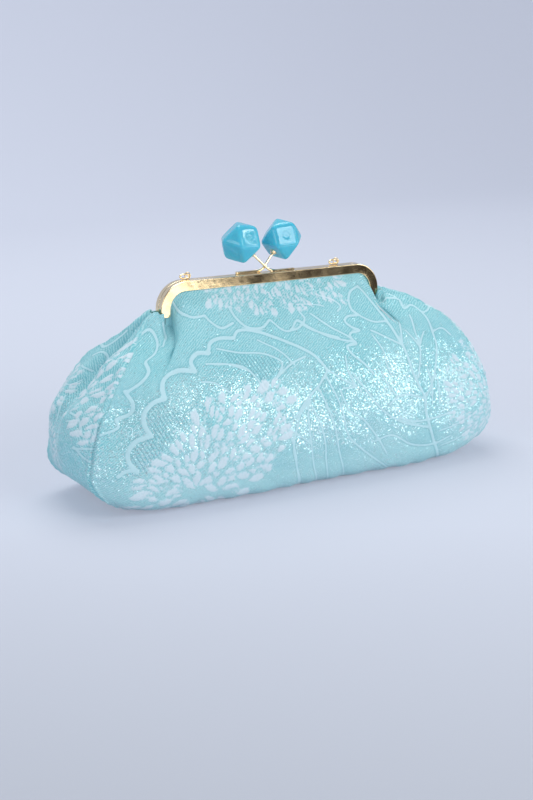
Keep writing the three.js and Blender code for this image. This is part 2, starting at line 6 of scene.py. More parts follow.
import bmesh
import bpy
import numpy as np
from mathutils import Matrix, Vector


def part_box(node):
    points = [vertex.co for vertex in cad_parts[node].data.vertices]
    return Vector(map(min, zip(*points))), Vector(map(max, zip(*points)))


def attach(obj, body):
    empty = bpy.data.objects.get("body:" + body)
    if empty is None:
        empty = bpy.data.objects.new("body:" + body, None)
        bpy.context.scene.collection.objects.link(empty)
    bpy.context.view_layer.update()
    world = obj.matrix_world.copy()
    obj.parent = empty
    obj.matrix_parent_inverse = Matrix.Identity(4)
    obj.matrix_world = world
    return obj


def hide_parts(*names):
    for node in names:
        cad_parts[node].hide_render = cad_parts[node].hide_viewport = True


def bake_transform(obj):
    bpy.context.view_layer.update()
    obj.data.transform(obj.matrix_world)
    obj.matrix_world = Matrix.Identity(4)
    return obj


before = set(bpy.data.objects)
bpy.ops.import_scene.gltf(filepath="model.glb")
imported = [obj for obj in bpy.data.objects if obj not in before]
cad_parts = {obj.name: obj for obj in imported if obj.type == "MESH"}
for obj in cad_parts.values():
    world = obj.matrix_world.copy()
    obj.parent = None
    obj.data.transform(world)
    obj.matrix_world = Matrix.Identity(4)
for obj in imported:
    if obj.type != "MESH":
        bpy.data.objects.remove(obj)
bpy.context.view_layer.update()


# The view: the bag from its front left and a little above, through a long lens, standing a little
# left of the picture's middle with much empty table before it.
VIEW_TURN = math.radians(-30.5)
VIEW_RISE = math.radians(15.0)
VIEW_DISTANCE = 0.836
VIEW_AIM = (-0.0188, -0.0157, 0.0509)
LENS = 63.1
SENSOR = 36.0


def direction(turn, rise):
    """Unit vector towards a place seen from the bag: turn 0 is in front, positive to the right."""
    return np.array([math.sin(turn) * math.cos(rise), -math.cos(turn) * math.cos(rise), math.sin(rise)])


def aim(thing, target):
    """Turns a camera or lamp so that its -Z axis points at the target."""
    away = thing.location - Vector(target)
    thing.rotation_euler = away.to_track_quat("Z", "Y").to_euler()


camera = bpy.data.objects.new("camera", bpy.data.cameras.new("camera"))
bpy.context.scene.collection.objects.link(camera)
camera.data.sensor_fit = "VERTICAL"
camera.data.sensor_height = SENSOR
camera.data.lens = LENS
camera.data.clip_start = 0.01
camera.location = np.array(VIEW_AIM) + VIEW_DISTANCE * direction(VIEW_TURN, VIEW_RISE)
aim(camera, VIEW_AIM)
bpy.context.scene.camera = camera
bpy.context.scene.view_settings.view_transform = "Standard"


# The studio: a pale lavender table that sweeps up behind the bag, and soft boxes in front, at both
# sides and high up behind. Cards that only show in gloss give the gold its light and dark, and the
# beads a ring and a square.
def linear(*levels):
    """A colour written as it shows on screen, 0 to 255, as the light levels that a shader takes."""
    c = np.array(levels, float) / 255
    return (*np.where(c <= 0.04045, c / 12.92, ((c + 0.055) / 1.055) ** 2.4), 1.0)


def shader(name):
    """A new node material and a function that adds a node to it. Inputs are given by name: a value
    sets the socket, and another node's output is linked to it. Other words set the node itself."""
    material = bpy.data.materials.new(name)
    material.use_nodes = True
    tree = material.node_tree
    tree.nodes.clear()

    def add(kind, inputs=(), **settings):
        node = tree.nodes.new("ShaderNode" + kind)
        for word, value in settings.items():
            setattr(node, word, value)
        for socket, value in dict(inputs).items():
            if isinstance(value, bpy.types.NodeSocket):
                tree.links.new(value, node.inputs[socket])
            else:
                node.inputs[socket].default_value = value
        return node

    return material, add


def span(add, value, low, high, at_low=0.0, at_high=1.0):
    """A value carried in a straight line from one range to another, and held at its ends."""
    ends = {"From Min": low, "From Max": high, "To Min": at_low, "To Max": at_high}
    return add("MapRange", {"Value": value, **ends}).outputs[0]


def times(add, a, b):
    """Two values multiplied."""
    return add("Math", {0: a, 1: b}, operation="MULTIPLY").outputs[0]


def larger(add, a, b):
    """The larger of two values."""
    return add("Math", {0: a, 1: b}, operation="MAXIMUM").outputs[0]


def tint(add, share, under, over):
    """A colour laid over another by a share between 0 and 1."""
    return add("Mix", {0: share, 6: under, 7: over}, data_type="RGBA").outputs[2]


def stage_card(name, corners, light):
    """A flat card with a plain light of its own, which only shows in gloss."""
    mesh = bpy.data.meshes.new(name)
    mesh.from_pydata(corners, [], [(0, 1, 2, 3)])
    card = bpy.data.objects.new(name, mesh)
    bpy.context.scene.collection.objects.link(card)
    material, add = shader(name)
    glow = add("Emission", {"Color": (*light, 1.0), "Strength": 1.0})
    add("OutputMaterial", {"Surface": glow.outputs[0]})
    mesh.materials.append(material)
    card.visible_camera = False
    card.visible_diffuse = False
    card.visible_shadow = False
    card.visible_transmission = False


def table():
    """The table: a strip whose profile runs level, bends up in a quarter circle and rises. Where it
    is seen it also glows a little, more to the left and far away and less near by."""
    bend_at, radius, wide, end = 1.1, 0.8, 3.5, 3.0
    turn = np.linspace(0, math.pi / 2, 25)
    back = np.concatenate([[-end], bend_at + radius * np.sin(turn), [bend_at + radius]])
    height = np.concatenate([[0.0], radius * (1 - np.cos(turn)), [end]])
    points = np.stack(np.broadcast_arrays([-wide, wide], back[:, None], height[:, None]), -1)
    n = np.arange(len(back) - 1) * 2
    mesh = bpy.data.meshes.new("table")
    mesh.from_pydata(points.reshape(-1, 3), [], np.stack([n, n + 1, n + 3, n + 2], -1).tolist())
    mesh.shade_smooth()
    piece = bpy.data.objects.new("table", mesh)
    bpy.context.scene.collection.objects.link(piece)
    material, add = shader("table")
    place = add("TexCoord").outputs["Object"]
    depth = add("VectorMath", {0: place, 1: (0.51, 0.86, 0.0)}, operation="DOT_PRODUCT").outputs["Value"]
    across = add("VectorMath", {0: place, 1: (0.86, -0.51, 0.0)}, operation="DOT_PRODUCT").outputs["Value"]
    far = span(add, depth, 0.1, 1.2, 1.2, 1.6)
    near = span(add, depth, -0.42, -0.1, 0.42, 1.0)
    left = span(add, across, -0.9, 0.2, 1.07, 0.96)
    seen = add("LightPath").outputs
    direct = larger(add, seen["Is Camera Ray"], seen["Is Glossy Ray"])
    share = times(add, larger(add, direct, seen["Is Transmission Ray"]), 0.4)
    matt = add("BsdfDiffuse", {"Color": linear(208, 215, 227)})
    level = times(add, times(add, far, near), left)
    glow = add("Emission", {"Color": linear(201, 207, 225), "Strength": level})
    mix = add("MixShader", {0: share, 1: matt.outputs[0], 2: glow.outputs[0]})
    add("OutputMaterial", {"Surface": mix.outputs[0]})
    mesh.materials.append(material)


def soft_box(name, turn, rise, distance, size, watts, colour):
    """A square lamp that looks at the bag from a direction and a distance."""
    lamp = bpy.data.objects.new(name, bpy.data.lights.new(name, "AREA"))
    lamp.data.shape = "RECTANGLE"
    lamp.data.size, lamp.data.size_y = size
    lamp.data.energy = watts
    lamp.data.color = colour
    target = (0.0, 0.0, 0.07)
    lamp.location = np.array(target) + distance * direction(math.radians(turn), math.radians(rise))
    aim(lamp, target)
    bpy.context.scene.collection.objects.link(lamp)


def floor_card(name, x0, x1, y0, y1, light):
    """A card that lies on the table in front of the bag, for the frame's front to reflect."""
    height = 0.001
    corners = [(x, y, height) for x, y in ((x0, y0), (x1, y0), (x1, y1), (x0, y1))]
    stage_card(name, corners, light)


def hung_card(name, turn, rise, distance, inner, outer, light):
    """A square card that hangs square to a direction from the beads. With an inner size it is only
    the square's border, in four strips."""
    away = direction(math.radians(turn), math.radians(rise))
    side = np.array([math.cos(math.radians(turn)), math.sin(math.radians(turn)), 0.0])
    up = np.cross(side, -away)
    middle = np.array([0.0, 0.0, 0.142]) + distance * away
    strips = [(-outer, outer, -outer, -inner), (-outer, outer, inner, outer)]
    if inner:
        strips += [(-outer, -inner, -inner, inner), (inner, outer, -inner, inner)]
    for part, (a, b, c, d) in enumerate(strips):
        corners = [tuple(middle + x * side + z * up) for x, z in ((a, c), (b, c), (b, d), (a, d))]
        stage_card(f"{name}_{part}", corners, (light * 0.95, light, light))


table()
soft_box("front_box", 12, 28, 1.15, (0.55, 0.6), 4.4, (1.0, 0.985, 0.94))
soft_box("right_box", 50, 15, 1.1, (0.5, 0.5), 2.1, (1.0, 0.985, 0.94))
soft_box("top_box", 175, 66, 1.3, (1.1, 0.9), 11.0, (1.0, 0.99, 0.96))
soft_box("left_box", -70, 16, 1.2, (0.6, 0.6), 2.8, (1.0, 0.99, 0.96))
floor_card("bright_card", -0.5, 0.255, -0.25, -1.3, (2.2, 2.1, 1.9))
floor_card("dark_card", 0.262, 1.6, -0.25, -1.5, (0.05, 0.045, 0.04))
hung_card("ring_card", 55.0, 32.0, 1.0, 0.05, 0.085, 14.0)
hung_card("square_card", 8.9, 35.0, 1.02, 0.0, 0.15, 6.0)
hung_card("square_card_edge", 8.9, 35.0, 1.0, 0.07, 0.11, 9.0)

sky = bpy.data.worlds.new("studio")
bpy.context.scene.world = sky
sky.use_nodes = True
backdrop = sky.node_tree.nodes["Background"].inputs
backdrop["Color"].default_value = linear(208, 212, 225)
backdrop["Strength"].default_value = 0.5


# The brocade's form: two cloth panels run from the frame's channels down over the body and under
# it to a seam along the base, and a gusset closes each end. The cloth was cut flat, sewn inside
# out and turned, so it swells between its seams and lies flat only where the bag stands.
FRAME_LOW, FRAME_HIGH = (np.array(corner) * 1000 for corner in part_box("front_frame"))
FRAME_X = (FRAME_LOW[0] + FRAME_HIGH[0]) / 2
HALF_WIDTH = (FRAME_HIGH[0] - FRAME_LOW[0]) / 2
TOP = FRAME_HIGH[2]
CORNER = 16.0
ARM_END = 105.0
MOUTH = 7.0
TUCK = 2.9
FULLER = 0.097
SHOULDER = 7.6
ARCH = 0.86
BASE = 0.86

# Rows down the cloth, from the channel to the base seam: place along the cloth; the side seam's
# x, y and z; the middle's y and z; how far a gusset swells, and how far it folds in.
ROWS = np.array([
    (0.00, 79.0, 4.2, 99.6, 2.85, 122.1, 0.0, 0.5),
    (0.05, 83.5, 5.4, 98.3, 3.1, 118.0, 0.3, 2.0),
    (0.10, 89.5, 8.4, 95.7, 6.8, 112.5, 1.0, 4.0),
    (0.22, 106.0, 22.6, 86.0, 18.0, 97.0, 4.0, 11.0),
    (0.36, 117.8, 28.5, 71.0, 29.3, 78.0, 9.9, 13.0),
    (0.50, 127.6, 30.3, 53.5, 37.7, 57.0, 13.9, 7.0),
    (0.62, 131.6, 30.1, 37.0, 42.7, 38.0, 10.3, 1.0),
    (0.72, 133.1, 30.3, 21.5, 44.5, 19.0, 3.2, 0.0),
    (0.80, 124.5, 30.9, 11.0, 41.9, 5.0, 0.4, 0.0),
    (0.86, 112.6, 28.0, 4.5, 29.7, 0.0, 1.5, 0.0),
    (1.00, 112.6, 0.0, 4.5, 0.0, 0.0, 1.5, 0.0),
]).T
SEAM_X, SEAM_Y, SEAM_Z, MIDDLE_Y, MIDDLE_Z, SWELL, FOLD = range(1, 8)


def along(column, t):
    """A smooth curve through one column of the rows: cubics with each row's mean slope."""
    at, value = ROWS[0], ROWS[column]
    h = np.diff(at)
    rise = np.diff(value) / h
    slope = np.empty(len(at))
    slope[0], slope[-1] = rise[0], rise[-1]
    slope[1:-1] = (rise[:-1] * h[1:] + rise[1:] * h[:-1]) / (h[:-1] + h[1:])
    k = np.clip(np.searchsorted(at, t, side="right") - 1, 0, len(h) - 1)
    s = (t - at[k]) / h[k]
    start = (2 * s**3 - 3 * s**2 + 1) * value[k] + (s**3 - 2 * s**2 + s) * h[k] * slope[k]
    return start + (3 * s**2 - 2 * s**3) * value[k + 1] + (s**3 - s**2) * h[k] * slope[k + 1]


def smooth(x, low, high):
    """0 below low, 1 above high, and an S curve between."""
    q = np.clip((x - low) / (high - low), 0, 1)
    return q * q * (3 - 2 * q)


def hump(x, centre, width):
    """A bell curve, 1 at the centre."""
    return np.exp(-(((x - centre) / width) ** 2))


def ripple(s, r, size, seed):
    """Smooth unevenness between about -1 and 1: seven waves of like length in seeded directions."""
    dice = np.random.default_rng(seed)
    turn = dice.uniform(0, math.pi, 7)
    length = size * dice.uniform(0.7, 1.6, 7)
    phase = dice.uniform(0, 2 * math.pi, 7)
    waves = [np.sin(2 * math.pi * (s * math.cos(a) + r * math.sin(a)) / n + p)
             for a, n, p in zip(turn, length, phase)]
    return sum(waves) / 3.2


def frame_share(t):
    """How much of a row still follows the frame: all of it in the channel, none below half way."""
    return 1 - smooth(t, 0.05, 0.6)


def shoulder(t):
    """How much higher the right end's shoulder stands than the left's."""
    return SHOULDER * smooth(t, 0.03, 0.16) * (1 - smooth(t, 0.26, 0.62))


def frame_row(a, t):
    """The part of a row that hugs the frame: level, round the corner and down the arm, and then a
    free edge that turns out under the hinge in a quadratic curve. Gives x, z and how far it leans
    on the panel's depth."""
    inset = np.minimum(TOP - along(MIDDLE_Z, t), MOUTH)
    half = HALF_WIDTH - inset
    radius = np.maximum(CORNER - inset, 1)
    top = TOP - inset
    arm_foot = ARM_END - 0.5 - (inset - TUCK)
    out_x, out_z = along(SEAM_X, t), along(SEAM_Z, t)
    foot = np.minimum(arm_foot, out_z + 1.6)
    flat = half - radius
    bend = radius * math.pi / 2
    arm = top - radius - arm_foot
    run = np.minimum(a / ARCH, 1) * (flat + bend + arm)
    turn = np.clip((run - flat) / radius, 0, math.pi / 2)
    arch_x = np.where(run < flat, run, flat + radius * np.sin(turn))
    arch_z = top - radius + radius * np.cos(turn) - np.maximum(run - flat - bend, 0)
    arch_z = foot + (along(MIDDLE_Z, t) - foot) * (arch_z - arm_foot) / (top - arm_foot)
    b = np.clip((a - ARCH) / (1 - ARCH), 0, 1)
    near, mid = (1 - b) ** 2, 2 * b * (1 - b)
    edge_x = near * half + mid * (half + 0.6) + b * b * out_x
    edge_z = near * foot + mid * (out_z + 0.5) + b * b * out_z
    inner = a <= ARCH
    return np.where(inner, arch_x, edge_x), np.where(inner, arch_z, edge_z), np.where(inner, 1, 1 - b**1.3)


def panel_form(u, t, side):
    """The outside of the front (side -1) or the back (side 1), with u from the left seam at -1 to
    the right at 1: the frame's row at the top turns into a barrel section below."""
    a = np.abs(u)
    w = frame_share(t)
    hug_x, hug_z, hug_depth = frame_row(a, t)
    x = w * hug_x + (1 - w) * along(SEAM_X, t) * (a + 0.159 * np.sin(math.pi * a))
    flat = smooth(t, 0.72, BASE)
    rise = (1 - flat) * a**2.89 + flat * np.clip((a - 0.5) / 0.5, 0, 1) ** 2
    middle = along(MIDDLE_Z, t)
    z = w * hug_z + (1 - w) * (middle + (along(SEAM_Z, t) - middle) * rise)
    seam = along(SEAM_Y, t)
    fullness = w * hug_depth + (1 - w) * (1 - a**4.19)
    y = seam + (along(MIDDLE_Y, t) - seam) * fullness
    right = u > 0
    x = np.where(right, x * (1 + FULLER * (1 - w)), x)
    z = z + np.where(right, shoulder(t) * np.clip((a - 0.3) / 0.7, 0, 1) ** 2, 0)
    under = np.clip((t - BASE) / (1 - BASE), 0, 1)
    x = x + along(SWELL, BASE) * (1 - (1 - under) ** 2) * a**6
    return np.stack([np.sign(u) * x, side * y, np.maximum(z, 0)], -1)


def gusset_form(v, t, end):
    """The outside of a gusset, with v from the front seam at -1 to the back one at 1: a swelling
    across it, and a fold that runs down a little behind its middle."""
    w = frame_share(t)
    fuller = 1 + FULLER * (1 - w) if end > 0 else 1.0
    swell = along(SWELL, t) * (1 - v * v)
    fold = along(FOLD, t) * hump(v, 0.12, 0.3) * (1 - v * v)
    z = along(SEAM_Z, t) + (shoulder(t) if end > 0 else 0)
    return np.stack([end * (along(SEAM_X, t) * fuller + swell - fold), v * along(SEAM_Y, t), z], -1)


def out_of(points, outward):
    """The surface's unit normals, from the differences along the grid's two ways."""
    n = np.cross(np.gradient(points, axis=1), np.gradient(points, axis=0)) * outward
    return n / np.maximum(np.linalg.norm(n, axis=-1, keepdims=True), 1e-9)


def lengths(points):
    """Where each point lies in the flat cloth: s along its row from the middle column, and r down
    the middle column, both as distances on the surface."""
    step = np.linalg.norm(np.diff(points, axis=1), axis=2)
    s = np.concatenate([np.zeros((len(points), 1)), np.cumsum(step, 1)], 1)
    middle = points.shape[1] // 2
    s = s - s[:, middle : middle + 1]
    down = np.linalg.norm(np.diff(points[:, middle], axis=0), axis=1)
    return s, np.broadcast_to(np.concatenate([[0], np.cumsum(down)])[:, None], s.shape)


# The woven pattern: white petals in bursts, pale cords that draw scallops, leaves and veins, and
# silver thread between them. It is drawn on the flat cloth, in millimetres: s to the right and r
# down. Each petal, arc and leaf has only the few points that its shape needs.
def cord(width, *points):
    """A cord's width and its way: cubics through the points, each with the slope there of the line
    from the point before to the one after."""
    points = np.array(points, float)
    ends = np.concatenate([2 * points[:1] - points[1:2], points, 2 * points[-1:] - points[-2:-1]])
    q = np.linspace(0, 1, 6)[:-1, None]
    way = []
    for a, b, c, d in zip(ends, ends[1:], ends[2:], ends[3:]):
        square, cube = a - 2.5 * b + 2 * c - d / 2, 1.5 * (b - c) + (d - a) / 2
        way.append(b + q * (c - a) / 2 + q**2 * square + q**3 * cube)
    return width, np.concatenate(way + [points[-1:]])


def cord_place(s, r, cords, near=5.0):
    """Where each point lies from the nearest cord: the two parts of its distance, and the distance,
    all over half the cord's width. Without a cord within near the distance is 9."""
    found = np.full((*s.shape, 3), 9.0)
    for width, way in cords:
        low, high = way.min(0) - near, way.max(0) + near
        close = np.nonzero((s > low[0]) & (s < high[0]) & (r > low[1]) & (r < high[1]))
        q = np.stack([s[close], r[close]], -1)
        best = found[close]
        for a, b in zip(way[:-1], way[1:]):
            h = np.clip(((q - a) @ (b - a)) / ((b - a) @ (b - a)), 0, 1)
            off = (q - a - h[:, None] * (b - a)) * 2 / width
            distance = np.linalg.norm(off, axis=1)
            nearer = distance < best[:, 2]
            best[nearer] = np.column_stack([off, distance])[nearer]
        found[close] = best
    return found


def inside(s, r, outline):
    """Whether points lie within an outline: an odd number of its sides lie to their right."""
    a = np.array(outline, float)
    b = np.roll(a, -1, 0)
    s, r = np.asarray(s, float)[..., None], np.asarray(r, float)[..., None]
    spans = (a[:, 1] > r) != (b[:, 1] > r)
    rise = np.where(a[:, 1] == b[:, 1], 1, b[:, 1] - a[:, 1])
    crossing = a[:, 0] + (r - a[:, 1]) * (b[:, 0] - a[:, 0]) / rise
    return (spans & (s < crossing)).sum(-1) % 2 == 1


def burst(centre, rings, first, last, seed, long=9.5, wide=4.3):
    """Petals in rings about a centre, from one bearing to another in degrees, anticlockwise from
    the right: middle, direction, length and width of each. Every other ring is half a step on."""
    dice = np.random.default_rng(seed)
    petals = []
    for k, radius in enumerate(rings):
        count = max(int(math.radians(last - first) * radius / (wide * 1.12)), 3)
        for j in range(count):
            bearing = math.radians(first + (last - first) * (j + 0.5 * (k % 2)) / count)
            bearing += dice.normal(0, 0.05)
            lean = bearing + dice.normal(0, 0.25)
            place = radius + dice.normal(0, 1.1)
            size = dice.uniform(0.68, 1.15)
            x, y = centre[0] + place * math.cos(bearing), centre[1] - place * math.sin(bearing)
            breadth = wide * size * dice.uniform(0.85, 1.1)
            petals.append((x, y, math.cos(lean), -math.sin(lean), long * size, breadth))
    return petals


def fan(centre, rings, first, last, outline, seed, long=9.5, wide=4.3):
    """The petals of a burst that lie within an outline."""
    return [p for p in burst(centre, rings, first, last, seed, long, wide) if inside(p[0], p[1], outline)]


def petal_depth(s, r, petals, gap=0.45):
    """How far outside the nearest petal a point lies, and less than 0 inside. A petal is an ellipse
    that is fuller at its outer end, and where two meet a gap stays between them."""
    first = np.full(s.shape, 9.0)
    second = np.full(s.shape, 9.0)
    for x, y, dx, dy, long, wide in petals:
        close = np.nonzero((np.abs(s - x) < long) & (np.abs(r - y) < long))
        ds, dr = s[close] - x, r[close] - y
        q = 2 * (ds * dx + dr * dy) / long
        p = 2 * (dr * dx - ds * dy) / (wide * (1 + 0.35 * np.clip(q, -1.2, 1.2)))
        f = (np.sqrt(q * q + p * p) - 1) * wide / 2
        a, b = first[close], second[close]
        first[close] = np.minimum(a, f)
        second[close] = np.minimum(np.maximum(a, f), b)
    return np.maximum(first, gap - (second - first) / 2)


LOW_FLOWER = [(-116, 118), (-103, 106), (-97, 96), (-88, 88), (-74, 77), (-61, 70), (-47, 69), (-28, 64),
              (-6, 61), (-9, 81), (-15, 96), (-19, 107), (-30, 118), (-40, 130), (-60, 146), (-118, 146),
              (-122, 128)]
TOP_FLOWER = [(-52, 1), (-46, 12), (-30, 17), (-14, 23), (8, 22), (20, 23), (28, 17), (46, 20), (50, 8),
              (48, 1)]
SIDE_FLOWER = [(108, 60), (116, 56), (130, 58), (150, 70), (152, 118), (128, 124), (112, 116), (106, 100),
               (104, 78)]
FRONT_PETALS = (
    fan((-74, 121), range(8, 92, 7), 4, 176, LOW_FLOWER, 3, 10, 4.6)
    + fan((-74, 121), range(12, 60, 9), 184, 356, LOW_FLOWER, 4, 10, 4.6)
    + fan((0, -60), range(61, 98, 5), 222, 318, TOP_FLOWER, 5, 8, 3.6)
    + fan((154, 100), range(9, 56, 6), 95, 265, SIDE_FLOWER, 6, 9, 3.8)
    + [(-97, 111, 0.5, 0.87, 14, 7.5), (-108, 119, 0.97, -0.24, 15, 6), (-88, 118, 0.93, -0.36, 12, 6)]
)
SCALLOPS = [
    cord(1.5, (-69, 4), (-66, 13), (-60, 19), (-51, 19)),
    cord(1.5, (-51, 19), (-49, 23), (-43, 28), (-35, 26)),
    cord(1.5, (-34, 16), (-32, 23), (-26, 30), (-17, 31), (-11, 27)),
    cord(1.3, (-10, 27), (-5, 33), (1, 35), (8, 29), (13, 34), (20, 38), (33, 43)),
    cord(2.2, (-37, 35), (-46, 34), (-53, 36), (-56, 42)),
    cord(2.5, (-56, 42), (-63, 41), (-68, 45), (-67, 51)),
    cord(2.8, (-67, 51), (-77, 49), (-86, 51), (-89, 57), (-89, 64)),
    cord(2.8, (-89, 64), (-96, 65), (-102, 70), (-103, 77), (-100, 84)),
    cord(2.6, (-101, 84), (-109, 86), (-114, 92), (-114, 98), (-110, 104)),
    cord(2.2, (-110, 103), (-116, 103), (-121, 106)),
    cord(1.8, (-37, 35), (-33, 31), (-24, 32), (-12, 37), (4, 46), (13, 53), (19, 62)),
    cord(2.2, (-110, 52), (-101, 47), (-96, 40), (-98, 32)),
    cord(2.2, (-111, 51), (-107, 60), (-109, 67), (-117, 70)),
    cord(1.6, (-102, 13), (-96, 11), (-91, 18), (-92, 25), (-98, 30)),
    cord(1.6, (-118, 70), (-118, 76), (-128, 79)),
    cord(1.3, (-89, 5), (-85, 14), (-87, 22)),
]
VEINS = [
    cord(1.1, (-50, 40), (-36, 44), (-22, 46), (-12, 51), (-10, 55), (-16, 63)),
    cord(1.1, (-59, 48), (-46, 50), (-32, 56)),
    cord(1.1, (-54, 49), (-41, 51), (-33, 55), (-25, 67), (-19, 80), (-14, 92)),
    cord(1.1, (-64, 58), (-56, 60), (-47, 67)),
    cord(1.1, (-14, 92), (-10, 106), (-6, 128), (6, 154)),
    cord(1.1, (-14, 92), (-7, 97), (1, 103)),
    cord(1.1, (-14, 92), (-4, 83), (4, 78)),
    cord(1.2, (-15, 62), (-4, 55), (6, 52)),
    cord(1.0, (-22, 38), (-10, 46), (-2, 56)),
]
LEAVES = [
    cord(1.5, (58, 12), (51, 15), (48, 20), (48, 26), (51, 30), (44, 30), (41, 33), (44, 37),
         (49, 40), (42, 41), (42, 45), (44, 48), (37, 49), (39, 54), (45, 60), (51, 68)),
    cord(1.7, (58, 12), (64, 24), (70, 36), (77, 53), (80, 68), (83, 78), (87, 87)),
    cord(1.2, (49, 27), (54, 32), (61, 36), (69, 37)),
    cord(1.4, (70, 18), (82, 14), (92, 16), (90, 24), (97, 22), (99, 30), (101, 46), (102, 56),
         (96, 74), (88, 86)),
    cord(1.3, (74, 20), (79, 33), (79, 42), (77, 53)),
    cord(1.2, (90, 30), (89, 41), (89, 57), (87, 65), (84, 74)),
    cord(1.1, (82, 44), (86, 50), (89, 55), (92, 50), (95, 45)),
    cord(1.2, (77, 53), (69, 48), (57, 41)),
    cord(1.0, (57, 44), (62, 54), (62, 61), (64, 70)),
    cord(1.3, (18, 26), (30, 36), (40, 43), (44, 48)),
    cord(1.4, (8, 29), (20, 38), (30, 43), (44, 47)),
    cord(1.4, (19, 62), (11, 70), (2, 77), (-4, 83)),
    cord(1.2, (27, 14), (36, 18), (41, 23), (38, 26)),
    cord(1.0, (11, 19), (21, 20), (29, 22)),
    cord(1.2, (11, 24), (13, 29), (7, 34), (0, 35)),
    cord(1.2, (76, 8), (84, 14), (92, 16)),
    cord(1.2, (92, 8), (92, 16)),
    cord(1.2, (99, 30), (104, 28), (108, 24)),
    cord(1.2, (101, 46), (108, 44), (114, 50)),
]
RAYS = [
    cord(1.2, (2, 79), (-4, 85), (-8, 94), (-11, 106), (-4, 130), (5, 151)),
    cord(1.2, (2, 79), (1, 90), (2, 104), (5, 122), (14, 145)),
    cord(1.2, (3, 79), (9, 93), (12, 106), (14, 124), (22, 148)),
    cord(1.2, (10, 71), (15, 84), (19, 98), (22, 112), (30, 140)),
    cord(1.2, (17, 66), (24, 84), (27, 100), (34, 109), (50, 122), (78, 144)),
    cord(1.2, (19, 62), (30, 70), (37, 74), (27, 74)),
    cord(1.2, (25, 75), (30, 88), (39, 94), (48, 105), (56, 118)),
    cord(1.3, (36, 66), (45, 80), (54, 91), (68, 100), (87, 106)),
    cord(1.2, (34, 55), (33, 64), (36, 73)),
    cord(1.1, (57, 67), (60, 75), (66, 84)),
    cord(1.3, (59, 88), (67, 84), (76, 84), (87, 88)),
    cord(1.8, (87, 87), (87, 98), (91, 113), (100, 133)),
    cord(1.2, (47, 109), (60, 107), (74, 115), (90, 118), (106, 115)),
    cord(1.2, (66, 97), (78, 101), (92, 101), (110, 99)),
    cord(1.1, (92, 92), (93, 80), (92, 70)),
    cord(1.1, (98, 92), (98, 80), (97, 74)),
    cord(1.1, (96, 110), (112, 108), (126, 104)),
    cord(1.1, (98, 120), (114, 118), (130, 112)),
]
FRONT_CORDS = SCALLOPS + VEINS + LEAVES + RAYS
RIBBED = [
    [(-104, 84), (-103, 74), (-98, 67), (-90, 65), (-76, 78), (-88, 88), (-98, 97)],
    [(-113, 91), (-101, 86), (-98, 96), (-104, 106), (-111, 101)],
    [(-50, 42), (-30, 46), (-14, 50), (-12, 58), (-26, 64), (-38, 55)],
]


def ribbed(s, r):
    """1 within the cells whose ground is woven in fine ribs, and 0 outside."""
    return np.any([inside(s, r, outline) for outline in RIBBED], 0).astype(float)


def silver_share(s, r):
    """How dense the silver thread is, 0 to 1: next to none above, much across the middle, and less
    towards the base and the right end."""
    share = smooth(r, 44, 76) * (0.8 + 0.4 * ripple(s, r, 40, 31))
    share *= (1 - 0.85 * smooth(r, 84, 122)) * (1 - 0.4 * smooth(s, 100, 125))
    return np.clip(share + 0.05, 0, 1)


def relief(petal, cord, s, r):
    """How far the weave stands proud: the petals and cords are raised, the ground is drawn in
    beside them and puffs up between them."""
    raised = 0.3 * (1 - smooth(petal, -0.7, 0.3)) + 0.2 * (1 - smooth(cord, 0.5, 1.3))
    drawn_in = 0.28 * hump(cord, 0, 3.6) + 0.1 * hump(np.maximum(petal, 0), 0, 1.4)
    return raised - drawn_in + 0.12 * ripple(s, r, 11, 33) + 0.03 * ripple(s, r, 3.5, 34)


def grid_faces(rows, columns, start=0):
    """Four-sided faces of a grid of points stored row by row."""
    i = start + (np.arange(rows - 1)[:, None] * columns + np.arange(columns - 1)).ravel()
    return np.stack([i, i + 1, i + 1 + columns, i + columns], -1)


def rim(rows, columns, start=0):
    """The grid's border points, once round."""
    n = start + np.arange(rows * columns).reshape(rows, columns)
    return np.concatenate([n[0, :-1], n[:-1, -1], n[-1, :0:-1], n[:0:-1, 0]])


def mesh_of(name, points, faces, fields=None, flat=None):
    """A mesh object from points in millimetres about the frame's middle, with its fields as point
    attributes and its flat coordinates as a UV map in metres. Its faces are turned outwards."""
    mesh = bpy.data.meshes.new(name)
    place = (np.asarray(points, float).reshape(-1, 3) + [FRAME_X, 0, 0]) / 1000
    mesh.from_pydata(place, [], [f for group in faces for f in group.tolist()])
    for word, values in (fields or {}).items():
        values = np.asarray(values, np.float32)
        kind, part = ("FLOAT_VECTOR", "vector") if values.shape[-1] == 3 else ("FLOAT", "value")
        mesh.attributes.new(word, kind, "POINT").data.foreach_set(part, values.ravel())
    work = bmesh.new()
    work.from_mesh(mesh)
    bmesh.ops.recalc_face_normals(work, faces=work.faces)
    work.to_mesh(mesh)
    work.free()
    if flat is not None:
        corners = np.empty(len(mesh.loops), int)
        mesh.loops.foreach_get("vertex_index", corners)
        uv = (np.asarray(flat).reshape(-1, 2) / 1000)[corners]
        mesh.uv_layers.new(name="cloth").data.foreach_set("uv", uv.astype(np.float32).ravel())
    mesh.shade_smooth()
    piece = bpy.data.objects.new(name, mesh)
    bpy.context.scene.collection.objects.link(piece)
    return piece


